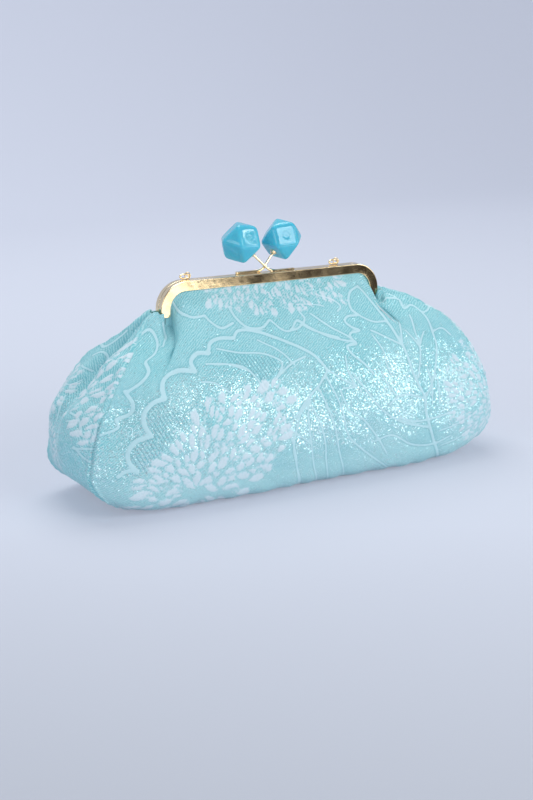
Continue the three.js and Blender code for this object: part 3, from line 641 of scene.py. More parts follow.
def cloth_sheet(name, outer, inner, fields, flat, coarse):
    """A closed sheet: a fine outer grid, an inner grid with every coarse-th point, and a rim of
    triangles that joins the two. Inner points carry the outer ones' fields."""
    rows, columns = outer.shape[:2]
    inner = inner[::coarse, ::coarse]
    count = rows * columns
    fine = rim(rows, columns)
    rough = rim(*inner.shape[:2], count)
    a, b = rough, np.roll(rough, -1)
    step = [np.roll(fine, -m)[::coarse] for m in range(coarse + 1)]
    half = coarse // 2
    side = [np.stack([a, step[m], step[m + 1]], -1) for m in range(half)]
    side += [np.stack([a, step[half], b], -1)]
    side += [np.stack([b, step[m], step[m + 1]], -1) for m in range(half, coarse)]
    faces = [grid_faces(rows, columns), grid_faces(*inner.shape[:2], count), *side]
    points = np.concatenate([outer.reshape(-1, 3), inner.reshape(-1, 3)])
    thin = inner[..., 0].size
    both = {word: np.concatenate([v.reshape(count, -1), v[::coarse, ::coarse].reshape(thin, -1)])
            for word, v in fields.items()}
    uv = np.concatenate([flat.reshape(-1, 2), flat[::coarse, ::coarse].reshape(-1, 2)])
    return mesh_of(name, points, faces, both, uv)


def dress(piece, material, node):
    """Gives a piece its material, and hides the imported part named by the node."""
    piece.data.materials.append(material)
    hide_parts(node)


def brocade():
    """Woven cloth: an aqua ground in a fine twill, white satin petals, pale cords edged with painted
    shade, and silver thread that glints. The twill's slanting lines are a sine across the flat cloth."""
    material, add = shader("brocade")
    flat = add("UVMap", uv_map="cloth").outputs[0]
    petal = add("Attribute", attribute_name="petal").outputs["Fac"]
    cord = add("Attribute", attribute_name="cord")
    silver = add("Attribute", attribute_name="silver").outputs["Fac"]
    rib = add("Attribute", attribute_name="ribbed").outputs["Fac"]

    frayed = add("TexNoise", {"Vector": flat, "Scale": 620.0, "Detail": 2.0}).outputs[0]
    ragged = add("Math", {0: frayed, 1: 2.4, 2: petal}, operation="MULTIPLY_ADD").outputs[0]
    white = span(add, ragged, 1.5, 0.95)
    parts = add("SeparateXYZ", {0: cord.outputs["Vector"]})
    beside = add("CombineXYZ", {0: parts.outputs[0], 1: parts.outputs[1]})
    off = add("VectorMath", {0: beside.outputs[0]}, operation="LENGTH").outputs["Value"]
    close = span(add, parts.outputs[2], 3.2, 2.6)
    pale = times(add, span(add, off, 1.15, 0.75), close)
    # Painted shade: the ground just beside each cord is darkened, where it is drawn in along the raised
    # cord.
    edge = times(add, times(add, span(add, off, 0.9, 1.3), span(add, off, 2.4, 1.4)), close)

    thread = 2 * math.pi / 0.0013
    slant = math.radians(52)
    weft = (thread * math.cos(slant), thread * math.sin(slant), 0)
    across = add("VectorMath", {0: flat, 1: weft}, operation="DOT_PRODUCT")
    wander = add("TexNoise", {"Vector": flat, "Scale": 420.0, "Detail": 1.0}).outputs[0]
    bent = add("Math", {0: wander, 1: 9.0, 2: across.outputs["Value"]}, operation="MULTIPLY_ADD").outputs[0]
    twill = add("Math", {0: bent}, operation="SINE").outputs[0]
    dash = add("TexNoise", {"Vector": flat, "Scale": 1000.0, "Detail": 1.0}).outputs[0]
    level = add("Math", {0: twill, 1: 0.3, 2: dash}, operation="MULTIPLY_ADD").outputs[0]
    ground = add("ValToRGB", {0: level})
    ramp = ground.color_ramp
    ramp.elements[0].position = 0.22
    ramp.elements[0].color = linear(98, 188, 200)
    ramp.elements[1].position = 0.8
    ramp.elements[1].color = linear(168, 221, 228)
    broad = add("TexNoise", {"Vector": flat, "Scale": 28.0, "Detail": 3.0}).outputs[0]
    patchy = span(add, broad, 0.3, 0.7, 0.0, 0.4)
    mottled = tint(add, patchy, ground.outputs[0], linear(176, 222, 230))
    down = add("SeparateXYZ", {0: flat})
    low_down = span(add, down.outputs[1], 0.085, 0.13, 0.0, 0.4)
    tinted = tint(add, low_down, mottled, linear(198, 226, 232))
    rib_way = add("VectorMath", {0: flat, 1: (2700.0, -1300.0, 0)}, operation="DOT_PRODUCT")
    rib_wave = add("Math", {0: rib_way.outputs["Value"]}, operation="SINE").outputs[0]
    groove = times(add, span(add, rib_wave, 0.2, 0.9), rib)
    lined = tint(add, times(add, groove, 0.75), tinted, linear(96, 168, 182))
    # The painted shade beside the cords is laid on here, in dark aqua.
    shaded = tint(add, times(add, edge, 0.38), lined, linear(92, 170, 184))
    corded = tint(add, times(add, pale, 0.9), shaded, linear(190, 227, 236))
    nap = span(add, dash, 0.25, 0.75, 0.72, 1.0)
    colour = tint(add, times(add, white, nap), corded, linear(214, 231, 241))

    grain = add("TexVoronoi", {"Vector": flat, "Scale": 2500.0}, feature="F1")
    chance = add("SeparateColor", {0: grain.outputs["Color"]})
    dense = span(add, silver, 0.0, 1.0, 0.0, 0.42)
    glint = add("Math", {0: chance.outputs[0], 1: dense}, operation="LESS_THAN").outputs[0]
    bare = add("Math", {0: 1.0, 1: larger(add, white, pale)}, operation="SUBTRACT").outputs[0]
    fleck = times(add, glint, bare)
    shine = times(add, fleck, 0.8)
    silvered = tint(add, shine, colour, linear(216, 238, 244))
    middle = (0.5, 0.5, 0.5)
    tilt = add("VectorMath", {0: grain.outputs["Color"], 1: middle}, operation="SUBTRACT").outputs[0]
    lean = add("VectorMath", {0: tilt, "Scale": 0.85}, operation="SCALE").outputs[0]
    scaled = add("VectorMath", {0: lean, "Scale": fleck}, operation="SCALE").outputs[0]

    weave = add("Math", {0: twill, 1: 0.35, 2: dash}, operation="MULTIPLY_ADD").outputs[0]
    soft = add("Bump", {"Strength": 0.3, "Distance": 0.0001, "Height": weave}).outputs[0]
    turned = add("VectorMath", {0: soft, 1: scaled}, operation="ADD").outputs[0]
    normal = add("VectorMath", {0: turned}, operation="NORMALIZE").outputs[0]
    cloth = add("BsdfPrincipled", {
        "Base Color": silvered, "Metallic": shine, "Roughness": span(add, fleck, 0.0, 1.0, 0.62, 0.26),
        "Normal": normal, "Sheen Weight": 0.25, "Sheen Roughness": 0.4,
    })
    add("OutputMaterial", {"Surface": cloth.outputs[0]})
    return material


BROCADE = brocade()
CLOTH = 0.8
SHEET_COARSE = 3


def seam_pinch(d, l):
    """Cloth beside a seam: drawn in at the stitches, standing in a low welt beside them, and
    puckered at every third stitch. d is the distance from the seam and l the place along it."""
    pucker = 0.16 * np.sin(2 * math.pi * l / 5.5 + 1.3 * np.sin(l / 9)) * hump(d, 1.5, 3.2)
    return 0.75 * hump(d, 2.0, 1.2) - 0.75 * hump(d, 0, 0.9) + pucker


def puff_over_hinge(form, t, side):
    """Cloth beside the frame's arms puffs up over the hinge: it rises beyond the arm, less at the
    gusset's middle, and just below the arm's end a panel's free edge also stands out before it."""
    rise, edge_rise, stand = 9.5, 7.8, 1.9
    x = np.abs(form[..., 0])
    top = 1 - smooth(t, 0.0, 0.2)
    edge = smooth(x, 72.3, 74.2) * (1 - smooth(t, 0.0, 0.12))
    away = 0.25 + 0.75 * smooth(np.abs(form[..., 1]), 0.0, 3.2)
    form[..., 2] += np.maximum(rise * smooth(x, 75, 78) * top * away, edge_rise * edge)
    form[..., 1] += side * stand * edge * (1 - smooth(x, 76.5, 79))


# The front and rear panels: one piece of brocade each, ironed to a thin stiffener, gathered into
# the channel at the top and sewn to the gussets and along the base.
PANEL_COLUMNS = 421
PANEL_ROWS = 211


def panel_lift(u, t, s, r, side, seed):
    """How far the cloth stands off its form: slow unevenness, a hollow beside each side seam, a
    fold that runs down from the frame's right corner, small waves by the base, and the seams."""
    body = smooth(t, 0.06, 0.25) * (1 - smooth(t, 0.78, 0.86))
    d_left, d_right = s - s[:, :1], s[:, -1:] - s
    lift = body * (1.2 * ripple(s, r, 75, seed) + 0.45 * ripple(s, r, 30, seed + 1))
    lift -= 3.2 * hump(d_left, 14, 8) * hump(r, 76, 26) + 1.6 * hump(d_right, 18, 9) * hump(r, 70, 26)
    lift += 0.35 * np.sin(2 * math.pi * s / 13 + 2 * np.sin(s / 21)) * hump(r, 9, 9) * smooth(r, 3, 8)
    crease = (s - 61) - 0.5 * (r - 12)
    beside = hump(r, 16, 11) * smooth(r, 4, 13) * (side < 0)
    lift += (1.8 * hump(crease, 13, 7) - 2.2 * hump(crease, 4, 6.0)) * beside
    crease = (s + 62) + 0.8 * (r - 10)
    lift += body * (0.7 * hump(crease, -6, 5) - 0.6 * hump(crease, 0, 3.5)) * hump(r, 18, 14)
    waves = np.sin(2 * math.pi * s / 17 + np.sin(s / 11)) * hump(t, 0.815, 0.035)
    lift += 0.35 * waves * (1 - smooth(np.abs(u), 0.6, 0.9))
    side_seam = seam_pinch(np.minimum(d_left, d_right), r) * smooth(t, 0.02, 0.08)
    return lift + side_seam + seam_pinch(r[-1, 0] - r, s) * 0.6


def panel(name, side, petals, cords, seed):
    """A panel of brocade: its form, set off along its normals by its lift and the weave's relief."""
    u, t = np.meshgrid(np.linspace(-1, 1, PANEL_COLUMNS), np.linspace(0, 1, PANEL_ROWS))
    form = panel_form(u, t, side)
    s, r = lengths(form)
    puff_over_hinge(form, t, side)
    s_cloth = s if side < 0 else -s
    petal = petal_depth(s_cloth, r, petals)
    cords = cord_place(s_cloth, r, cords)
    lift = panel_lift(u, t, s, r, side, seed)
    weave = relief(petal, cords[..., 2], s_cloth, r) * smooth(r, 2, 6)
    normals = out_of(form, side)
    outer = form + normals * (lift + weave)[..., None]
    hollow = lift * (1 - smooth(t, 0.0, 0.06)) + np.minimum(lift, 0)
    inner = form + normals * (hollow - CLOTH)[..., None]
    for sheet in (outer, inner):
        sheet[..., 2] = np.maximum(sheet[..., 2], 0 if sheet is outer else CLOTH)
        sheet[..., 1] = side * np.maximum(side * sheet[..., 1], np.where(t > 0.97, 0.12, 0.0))
    silver = silver_share(s_cloth, r)
    fields = {"petal": petal, "cord": cords, "silver": silver, "ribbed": ribbed(s_cloth, r)}
    piece = cloth_sheet(name, outer, inner, fields, np.stack([s_cloth, r], -1), SHEET_COARSE)
    dress(piece, BROCADE, name)
    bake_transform(piece)


panel("front_panel", -1, FRONT_PETALS, FRONT_CORDS, 41)
panel("rear_panel", 1, FRONT_PETALS, FRONT_CORDS, 51)


# The gussets: a narrow piece of brocade at each end, sewn between the panels. It swells out and
# folds in behind its middle, as it does each time that the bag shuts.
GUSSET_HALF = 60
GUSSET_FLOWER = [(-34, 24), (-14, 14), (3, 14), (5, 36), (9, 50), (4, 66), (-8, 72), (-22, 82), (-36, 84)]
GUSSET_PETALS = (
    fan((10, 108), range(28, 104, 8), 96, 168, GUSSET_FLOWER, 12, 8, 4.2)
    + burst((14, 96), (6, 14), 60, 300, 13, 5, 2.4)
    + burst((34, 60), (6, 13, 20), 0, 360, 14, 7, 3.6)
)
GUSSET_CORDS = [
    cord(1.4, (-14, 66), (-20, 68), (-24, 74), (-26, 79)),
    cord(1.2, (-14, 72), (-20, 70)),
    cord(1.2, (14, 60), (11, 68), (8, 78)),
    cord(1.2, (25, 53), (17, 51), (13, 47)),
    cord(1.2, (24, 37), (17, 38), (11, 40)),
    cord(1.4, (21, 29), (15, 25), (8, 30), (7, 38)),
    cord(1.4, (-21, 86), (-27, 92), (-33, 94)),
    cord(1.2, (-20, 87), (-33, 86)),
    cord(1.4, (30, 16), (22, 22), (14, 20), (8, 12)),
    cord(1.4, (-10, 100), (0, 94), (8, 100), (16, 112)),
]


def gusset_lift(t, s, r, seed):
    """How far a gusset's cloth stands off its form: slow unevenness and the pinch of its seams."""
    body = smooth(t, 0.08, 0.25) * (1 - smooth(t, 0.74, 0.84))
    d = np.minimum(s - s[:, :1], s[:, -1:] - s)
    lift = body * (0.9 * ripple(s, r, 45, seed) + 0.4 * ripple(s, r, 20, seed + 1)) * smooth(d, 0, 8)
    return lift + seam_pinch(d, r) * smooth(t, 0.02, 0.1)


def gusset(name, end, seed):
    """A gusset: its form from over the hinge to the base, as two pieces that meet in its fold."""
    half = GUSSET_HALF
    v, t = np.meshgrid(np.linspace(-1, 1, 2 * half + 1), np.linspace(0.0, BASE, 163))
    form = gusset_form(v, t, end)
    s, r = lengths(form)
    puff_over_hinge(form, t, 0)
    petal = petal_depth(s, r, GUSSET_PETALS)
    cords = cord_place(s, r, GUSSET_CORDS)
    lift = gusset_lift(t, s, r, seed)
    weave = relief(petal, cords[..., 2], s, r)
    normals = out_of(form, -end)
    outer = form + normals * (lift + weave)[..., None]
    inner = form + normals * (np.minimum(lift, 0) - CLOTH)[..., None]
    for sheet in (outer, inner):
        sheet[..., 2] = np.maximum(sheet[..., 2], 0.1)
    fields = {"petal": petal, "cord": cords, "silver": 0.6 * silver_share(s + 60, r), "ribbed": 0 * s}
    flat = np.stack([r + 400, s], -1)
    cuts = (("_front", "front_half", np.s_[:, : half + 1]), ("_rear", "rear_half", np.s_[:, half:]))
    for word, body, cut in cuts:
        part = {field: values[cut] for field, values in fields.items()}
        piece = cloth_sheet(name + word, outer[cut], inner[cut], part, flat[cut], SHEET_COARSE)
        dress(piece, BROCADE, name)
        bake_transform(piece)


gusset("left_gusset", -1, 61)
gusset("right_gusset", 1, 71)


# The lining: pale satin, sewn as a bag of its own, tucked into the channels with the brocade and
# hanging a little free of it below. Its ends are in two pieces too.
LINING = 0.5
LINING_HALF = 20


def satin():
    """Satin: smooth pale cloth with a soft sheen and a faint crosswise thread."""
    material, add = shader("lining_satin")
    flat = add("UVMap", uv_map="cloth")
    thread = add("TexWave", {"Vector": flat.outputs[0], "Scale": 900.0, "Distortion": 1.5}).outputs["Fac"]
    bump = add("Bump", {"Strength": 0.2, "Distance": 0.00005, "Height": thread})
    cloth = add("BsdfPrincipled", {
        "Base Color": tint(add, thread, linear(206, 219, 226), linear(222, 232, 237)),
        "Roughness": 0.42, "Normal": bump.outputs[0], "Sheen Weight": 0.35,
    })
    add("OutputMaterial", {"Surface": cloth.outputs[0]})
    return material


SATIN = satin()


def lining_of(name, node, form, normals, depth, s, r):
    """A thin closed sheet of satin that lies under a form by the given depth, and crumples a little
    where it lies deeper."""
    crumple = 0.5 * ripple(s, r, 34, 81) * smooth(depth, 1.2, 2.2)
    outer = form - normals * (depth - np.minimum(crumple, 0.3))[..., None]
    inner = outer - normals * LINING
    for sheet in (outer, inner):
        sheet[..., 2] = np.maximum(sheet[..., 2], 1.6)
    piece = cloth_sheet(name, outer, inner, {}, np.stack([s, r], -1), 1)
    dress(piece, SATIN, node)
    return piece


def panel_lining(name, side, seed):
    """A panel's lining: under the panel's form, deeper below the channel and in its hollows, and cut
    short of its side seams and base seam."""
    u, t = np.meshgrid(np.linspace(-1, 1, 163), np.linspace(0, 1, 83))
    form = panel_form(u, t, side)
    s, r = lengths(form)
    depth = 1.05 + 1.3 * smooth(t, 0.05, 0.16) + np.maximum(-panel_lift(u, t, s, r, side, seed), 0)
    grids = (form, out_of(form, side), depth, s, r)
    piece = lining_of(name, name, *(a[:-1, 2:-2] for a in grids))
    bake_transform(piece)


def gusset_lining(name, end, seed):
    """A gusset's lining: under the gusset's form, in two pieces as the gusset is, and cut short of
    its seams, its base and the hinge."""
    v, t = np.meshgrid(np.linspace(-1, 1, 2 * LINING_HALF + 1), np.linspace(0.0, BASE, 83))
    form = gusset_form(v, t, end)
    s, r = lengths(form)
    depth = 1.7 + np.maximum(-gusset_lift(t, s, r, seed), 0)
    grids = (form, out_of(form, -end), depth, s, r)
    cuts = (("_front", "front_half", np.s_[6:-3, 2 : LINING_HALF + 1]),
            ("_rear", "rear_half", np.s_[6:-3, LINING_HALF:-2]))
    for word, half, cut in cuts:
        piece = lining_of(name + word, name, *(a[cut] for a in grids))
        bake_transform(piece)


panel_lining("front_lining", -1, 41)
panel_lining("rear_lining", 1, 51)
gusset_lining("left_lining", -1, 61)
gusset_lining("right_lining", 1, 71)


# The frame: two halves, each pressed from brass strip into a channel, bent to an arch, plated
# pale gold and nipped with pliers at its corners to hold the cloth. An ear at each end carries
# the hinge rivet.
CHANNEL_DEPTH = 3.8
CHANNEL_HEIGHT = 5.8
CHANNEL_WALL = 0.8
HALVES_GAP = 0.3
FACE = HALVES_GAP / 2 + CHANNEL_DEPTH
HINGE_Z = 102.4
EAR_RADIUS = 2.2
EAR_GAP = 0.3
NIP_PITCH = 1.3
NIP_DEPTH = 0.2


def plated_gold():
    """Polished gold plate with a faint waviness, fine scratches and a duller haze in places."""
    material, add = shader("plated_gold")
    place = add("TexCoord").outputs["Object"]
    haze = add("TexNoise", {"Vector": place, "Scale": 130.0, "Detail": 6.0}).outputs[0]
    wavy = add("TexNoise", {"Vector": place, "Scale": 320.0, "Detail": 3.0}).outputs[0]
    stretched = add("Mapping", {"Vector": place, "Scale": (300.0, 2500.0, 2500.0)}).outputs[0]
    scratch = add("TexNoise", {"Vector": stretched, "Scale": 1.0, "Detail": 2.0}).outputs[0]
    height = add("Math", {0: scratch, 1: 0.12, 2: wavy}, operation="MULTIPLY_ADD").outputs[0]
    bump = add("Bump", {"Strength": 0.12, "Distance": 0.0003, "Height": height})
    metal = add("BsdfPrincipled", {
        "Base Color": tint(add, haze, linear(246, 230, 196), linear(236, 212, 168)), "Metallic": 1.0,
        "Roughness": span(add, haze, 0.35, 0.7, 0.08, 0.2), "Normal": bump.outputs[0],
    })
    add("OutputMaterial", {"Surface": metal.outputs[0]})
    return material


GOLD = plated_gold()


def rounded(corners, radii, steps=4):
    """A closed outline whose corners are turned into arcs: each is a quadratic curve between the
    points at that radius before and after the corner. One more point on each side of an arc keeps
    the sides flat in the light."""
    corners = np.array(corners, float)
    before = np.roll(corners, 1, 0) - corners
    after = np.roll(corners, -1, 0) - corners
    radii = np.broadcast_to(np.array(radii, float), len(corners))[:, None]
    before, after = (way / np.linalg.norm(way, axis=1, keepdims=True) for way in (before, after))
    a, b = corners + before * radii, corners + after * radii
    q = np.linspace(0, 1, steps + 1)[None, :, None]
    arcs = (1 - q) ** 2 * a[:, None] + 2 * q * (1 - q) * corners[:, None] + q * q * b[:, None]
    arcs = np.concatenate([(a + 0.04 * before)[:, None], arcs, (b + 0.04 * after)[:, None]], 1)
    return arcs.reshape(-1, corners.shape[1])


def tube_faces(stations, around, start=0):
    """Faces of a closed tube of rings, with a flat end at each end."""
    i = np.arange(stations - 1)[:, None] * around + start
    j = np.arange(around)
    k = (j + 1) % around
    sides = np.stack([i + j, i + k, i + k + around, i + j + around], -1).reshape(-1, 4)
    last = start + (stations - 1) * around
    return [sides, (start + j[::-1])[None], (last + j)[None]]


def wrapped_faces(stations, around):
    """Faces of a tube of rings whose last ring joins the first."""
    i, j = np.meshgrid(np.arange(stations), np.arange(around), indexing="ij")
    i2, j2 = (i + 1) % stations, (j + 1) % around
    quads = np.stack([i * around + j, i * around + j2, i2 * around + j2, i2 * around + j], -1)
    return [quads.reshape(-1, 4)]


def merge(parts):
    """Several (points, faces) shapes as one, with the face numbers moved on."""
    points, faces, count = [], [], 0
    for p, f in parts:
        p = np.asarray(p).reshape(-1, 3)
        points.append(p)
        faces += [group + count for group in f]
        count += len(p)
    return np.concatenate(points), faces


def channel(side):
    """The channel: its section, a thin wall round three sides, carried round the arch. The lips
    near the corners are nipped in by small even dents."""
    y_out, y_in = side * FACE, side * HALVES_GAP / 2
    wall = side * CHANNEL_WALL
    section = rounded(
        [(0, y_out), (CHANNEL_HEIGHT, y_out), (CHANNEL_HEIGHT, y_out - wall), (CHANNEL_WALL, y_out - wall),
         (CHANNEL_WALL, y_in + wall), (CHANNEL_HEIGHT, y_in + wall), (CHANNEL_HEIGHT, y_in), (0, y_in)],
        [0.6, 0.25, 0.2, 0.4, 0.4, 0.2, 0.3, 0.25])
    flat = HALF_WIDTH - CORNER
    quarter = CORNER * math.pi / 2
    arm = TOP - CORNER - ARM_END
    end = flat + quarter + arm
    bend, foot = np.linspace(flat, flat + quarter, 42), np.linspace(flat + quarter, end, 6)
    l = np.concatenate([np.linspace(0, flat, 45), bend[1:], foot[1:]])
    l = np.concatenate([-l[:0:-1], l])
    a = np.abs(l)
    turn = np.clip((a - flat) / CORNER, 0, math.pi / 2)
    x = np.sign(l) * np.where(a < flat, a, flat + CORNER * np.sin(turn))
    z = TOP - CORNER + CORNER * np.cos(turn) - np.maximum(a - flat - quarter, 0)
    inward = np.stack([-np.sign(l) * np.sin(turn), 0 * l, -np.cos(turn)], -1)
    nips = np.clip(0.5 + 0.5 * np.sin(2 * math.pi * l / NIP_PITCH), 0, 1) * hump(a, flat + quarter * 0.4, 9)
    inset, y = section[:, 0], section[:, 1]
    lip = smooth(inset, CHANNEL_HEIGHT - 0.9, CHANNEL_HEIGHT) * (np.abs(y) > FACE - CHANNEL_WALL - 0.1)
    points = np.stack([x, 0 * x, z], -1)[:, None] + inward[:, None] * inset[None, :, None]
    points[..., 1] = y[None] - side * NIP_DEPTH * nips[:, None] * lip[None]
    return points, tube_faces(len(l), len(section))


def plate_x(outline, x0, x1, chamfer=0.15):
    """A plate across X: an outline in y and z, drawn in a little at both faces."""
    outline = np.array(outline, float)
    middle = outline.mean(0)
    small = middle + (outline - middle) * (1 - chamfer / np.abs(outline - middle).max())
    rings = [(x0, small), (x0 + chamfer, outline), (x1 - chamfer, outline), (x1, small)]
    points = [np.column_stack([np.full(len(o), x), o]) for x, o in rings]
    return np.stack(points), tube_faces(4, len(outline))


def ears(side):
    """An ear at each arm's end: a neck that leaves the channel's back and a round eye at the hinge."""
    shapes = []
    y_out, y_in = side * (FACE - 0.5), side * HALVES_GAP / 2
    eye = np.linspace(0, 2 * math.pi, 25)[:-1]
    for end in (-1, 1):
        face = HALF_WIDTH - (0 if side < 0 else CHANNEL_WALL + EAR_GAP)
        x0, x1 = sorted((end * face, end * (face - CHANNEL_WALL)))
        neck = rounded([(y_out, ARM_END + 1.0), (y_in, ARM_END + 1.0), (y_in, HINGE_Z),
                        (side * EAR_RADIUS * 0.7, HINGE_Z - 1.0), (y_out, ARM_END - 0.8)], 0.3, 3)
        shapes.append(plate_x(neck, x0, x1))
        ring = np.column_stack([EAR_RADIUS * np.cos(eye), HINGE_Z + EAR_RADIUS * np.sin(eye)])
        shapes.append(plate_x(ring, x0, x1))
    return shapes


def frame_half(name, side, body):
    """A half of the frame: its channel and its two ears."""
    points, faces = merge([channel(side), *ears(side)])
    piece = mesh_of(name, points, faces)
    piece.data.set_sharp_from_angle(angle=math.radians(40))
    dress(piece, GOLD, name)
    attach(piece, body)


frame_half("front_frame", -1, "front_half")
frame_half("rear_frame", 1, "rear_half")


# The hinge rivets: brass pins through both ears, set at each end to a low dome.
RIVET_RADIUS = 0.8
RIVET_HEAD = 1.7
RIVET_HEAD_HEIGHT = 0.8


def turned_x(profile, centre, sign):
    """A shape turned about X: rings of (distance along X, radius) about a centre."""
    profile = np.array(profile, float)
    turn = np.linspace(0, 2 * math.pi, 33)[:-1]
    x = centre[0] + sign * profile[:, :1] + 0 * turn
    y = centre[1] + profile[:, 1:] * np.cos(turn)
    z = centre[2] + profile[:, 1:] * np.sin(turn)
    return np.stack([x, y, z], -1), tube_faces(len(profile), len(turn))


def rivet(name, end):
    """A rivet: a pin through both ears with a low dome at each end, turned about X."""
    dome = np.linspace(0.0, math.pi / 2 - 0.15, 6)
    cap = [(RIVET_HEAD_HEIGHT * math.sin(a), RIVET_HEAD * math.cos(a) ** 0.8) for a in dome]
    outer_head = [(EAR_GAP + h, rho) for h, rho in cap]
    reach = 2 * CHANNEL_WALL + 2 * EAR_GAP
    inner_head = [(-reach - h, rho) for h, rho in reversed(cap)]
    profile = inner_head + [(-reach, RIVET_RADIUS), (EAR_GAP, RIVET_RADIUS)] + outer_head
    piece = mesh_of(name, *turned_x(profile, (end * HALF_WIDTH, 0, HINGE_Z), end))
    piece.data.set_sharp_from_angle(angle=math.radians(50))
    dress(piece, GOLD, name)
    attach(piece, "front_half")


rivet("hinge_rivet_left", -1)
rivet("hinge_rivet_right", 1)


# The fillers: a cord of twisted paper in each channel, pressed in over the cloth's edge.
FILLER_RADIUS = 0.7


def paper():
    """Twisted kraft paper: matt, with slanting strands."""
    material, add = shader("paper_cord")
    place = add("TexCoord").outputs["Object"]
    strands = {"Vector": place, "Scale": 700.0, "Distortion": 1.0}
    strand = add("TexWave", strands, bands_direction="DIAGONAL").outputs["Fac"]
    bump = add("Bump", {"Strength": 0.5, "Distance": 0.0001, "Height": strand})
    twist = add("BsdfPrincipled", {
        "Base Color": tint(add, strand, linear(184, 168, 138), linear(214, 201, 175)),
        "Roughness": 0.9, "Normal": bump.outputs[0],
    })
    add("OutputMaterial", {"Surface": twist.outputs[0]})
    return material


def tube(path, radius, around=16, closed=False):
    """A round wire along a path: rings square to it, drawn from one fixed side so that they don't
    twist. A closed path ends where it began."""
    path = np.asarray(path, float)
    ahead = np.roll(path, -1, 0) - np.roll(path, 1, 0) if closed else np.gradient(path, axis=0)
    ahead /= np.linalg.norm(ahead, axis=1, keepdims=True)
    side = np.cross(ahead, [0.03, 1.0, 0.02])
    side /= np.linalg.norm(side, axis=1, keepdims=True)
    up = np.cross(side, ahead)
    turn = np.linspace(0, 2 * math.pi, around + 1)[:-1]
    radius = np.broadcast_to(radius, len(path))[:, None, None]
    ring = side[:, None] * np.cos(turn)[None, :, None] + up[:, None] * np.sin(turn)[None, :, None]
    points = path[:, None] + radius * ring
    return points, (wrapped_faces if closed else tube_faces)(len(path), around)


PAPER = paper()
CHANNEL_MIDDLE = HALVES_GAP / 2 + CHANNEL_DEPTH / 2


def filler(name, side, body):
    """A paper cord's way: level under the channel's back, round the corner in a quarter circle and
    down the arm."""
    inset = CHANNEL_WALL + 0.3 + FILLER_RADIUS
    turn = np.linspace(0, math.pi / 2, 16)
    x = HALF_WIDTH - CORNER + (CORNER - inset) * np.sin(turn)
    z = TOP - CORNER + (CORNER - inset) * np.cos(turn)
    level = [[x0, 0, TOP - inset] for x0 in (0, 20, 40)]
    foot = [[HALF_WIDTH - inset, 0, ARM_END + 2.5]]
    right = np.concatenate([level, np.stack([x, 0 * turn, z], -1), foot])
    path = np.concatenate([right[:0:-1] * [-1, 1, 1], right]) + [0, side * CHANNEL_MIDDLE, 0]
    piece = mesh_of(name, *tube(path, FILLER_RADIUS, 12))
    dress(piece, PAPER, name)
    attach(piece, body)


filler("front_paper_filler", -1, "front_half")
filler("rear_paper_filler", 1, "rear_half")


# The kiss lock: on each half a flat bar is soldered to the channel, and its end is drawn out to a
# wire that turns up, crosses its fellow and carries a bead. Shut, each stem has snapped past the
# other, the front half's to the left bead and the back half's to the right one.
CLASP_X = -4.1
CLASP_Z = TOP + 3.2
BAR_LENGTH = 16.5
BAR_HEIGHT = 1.3
BAR_WIDTH = 2.2
BAR_START = 2.4
BAR_EASE = 0.4
STEM_RADIUS = 0.75
STEM_IN_BEAD = 5.0
STEM_APART = 0.9
BEAD_EDGE = 13.0
BEAD_REACH = BEAD_EDGE / math.sqrt(2)
BEAD_MIDDLE = {
    -1: np.array([CLASP_X - 13.9, 4.7, CLASP_Z + 14.9]),
    1: np.array([CLASP_X + 13.8, 4.2, CLASP_Z + 14.9]),
}


def stem_way(side):
    """The crossing point of a stem and the unit direction from there into its bead."""
    cross = np.array([CLASP_X, side * STEM_APART, CLASP_Z])
    way = BEAD_MIDDLE[side] - cross
    return cross, way / np.linalg.norm(way)


def clasp(name, side, body):
    """The bar, a rounded strip with eased ends, and the stem, a wire along one smooth curve."""
    bar_z = TOP + 0.1 + BAR_HEIGHT / 2
    near = CLASP_X - side * BAR_START
    start = np.array([0, 0.12, BAR_EASE])
    x = np.concatenate([start, np.linspace(0.8, BAR_LENGTH - 0.8, 12), BAR_LENGTH - start[::-1]])
    from_end = np.minimum(np.minimum(x, BAR_LENGTH - x), BAR_EASE)
    ease = np.sqrt(np.clip(1 - ((BAR_EASE - from_end) / BAR_EASE) ** 2, 0.35, 1))[:, None]
    wide, high = BAR_WIDTH / 2, BAR_HEIGHT / 2
    strip = rounded([(-wide, -high), (wide, -high), (wide, high), (-wide, high)], [0.2, 0.2, 0.35, 0.35])
    y, z = side * CHANNEL_MIDDLE + ease * strip[:, 0], bar_z + ease * strip[:, 1]
    bar = np.stack(np.broadcast_arrays((near - side * x)[:, None], y, z), -1)
    cross, way = stem_way(side)
    tip = BEAD_MIDDLE[side] + way * (STEM_IN_BEAD - BEAD_REACH)
    root = np.array([near - side * 3.5, side * CHANNEL_MIDDLE, bar_z])
    knee = cross + way * (bar_z - CLASP_Z) / way[2]
    q = np.linspace(0, 1, 15)[:, None]
    curve = (1 - q) ** 2 * root + 2 * q * (1 - q) * knee + q * q * cross
    straight = cross + (tip - cross) * np.linspace(0, 1, 9)[1:, None]
    stem = tube(np.concatenate([curve, straight]), STEM_RADIUS, 20)
    points, faces = merge([(bar, tube_faces(len(x), len(strip))), stem])
    piece = mesh_of(name, points, faces)
    piece.data.set_sharp_from_angle(angle=math.radians(50))
    dress(piece, GOLD, name)
    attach(piece, body)


clasp("front_clasp_stem", -1, "front_half")
clasp("rear_clasp_stem", 1, "rear_half")


# The collars: a small turned ferrule under each bead, flared like a cup towards it.
COLLAR_RADIUS = 2.1
COLLAR_LENGTH = 1.5


def basis(axis, forward):
    """Three unit directions: across, along the axis, and forward as near as may be to the one given."""
    forward = forward - axis * (forward @ axis)
    forward = forward / np.linalg.norm(forward)
    return np.stack([np.cross(axis, forward), axis, forward])


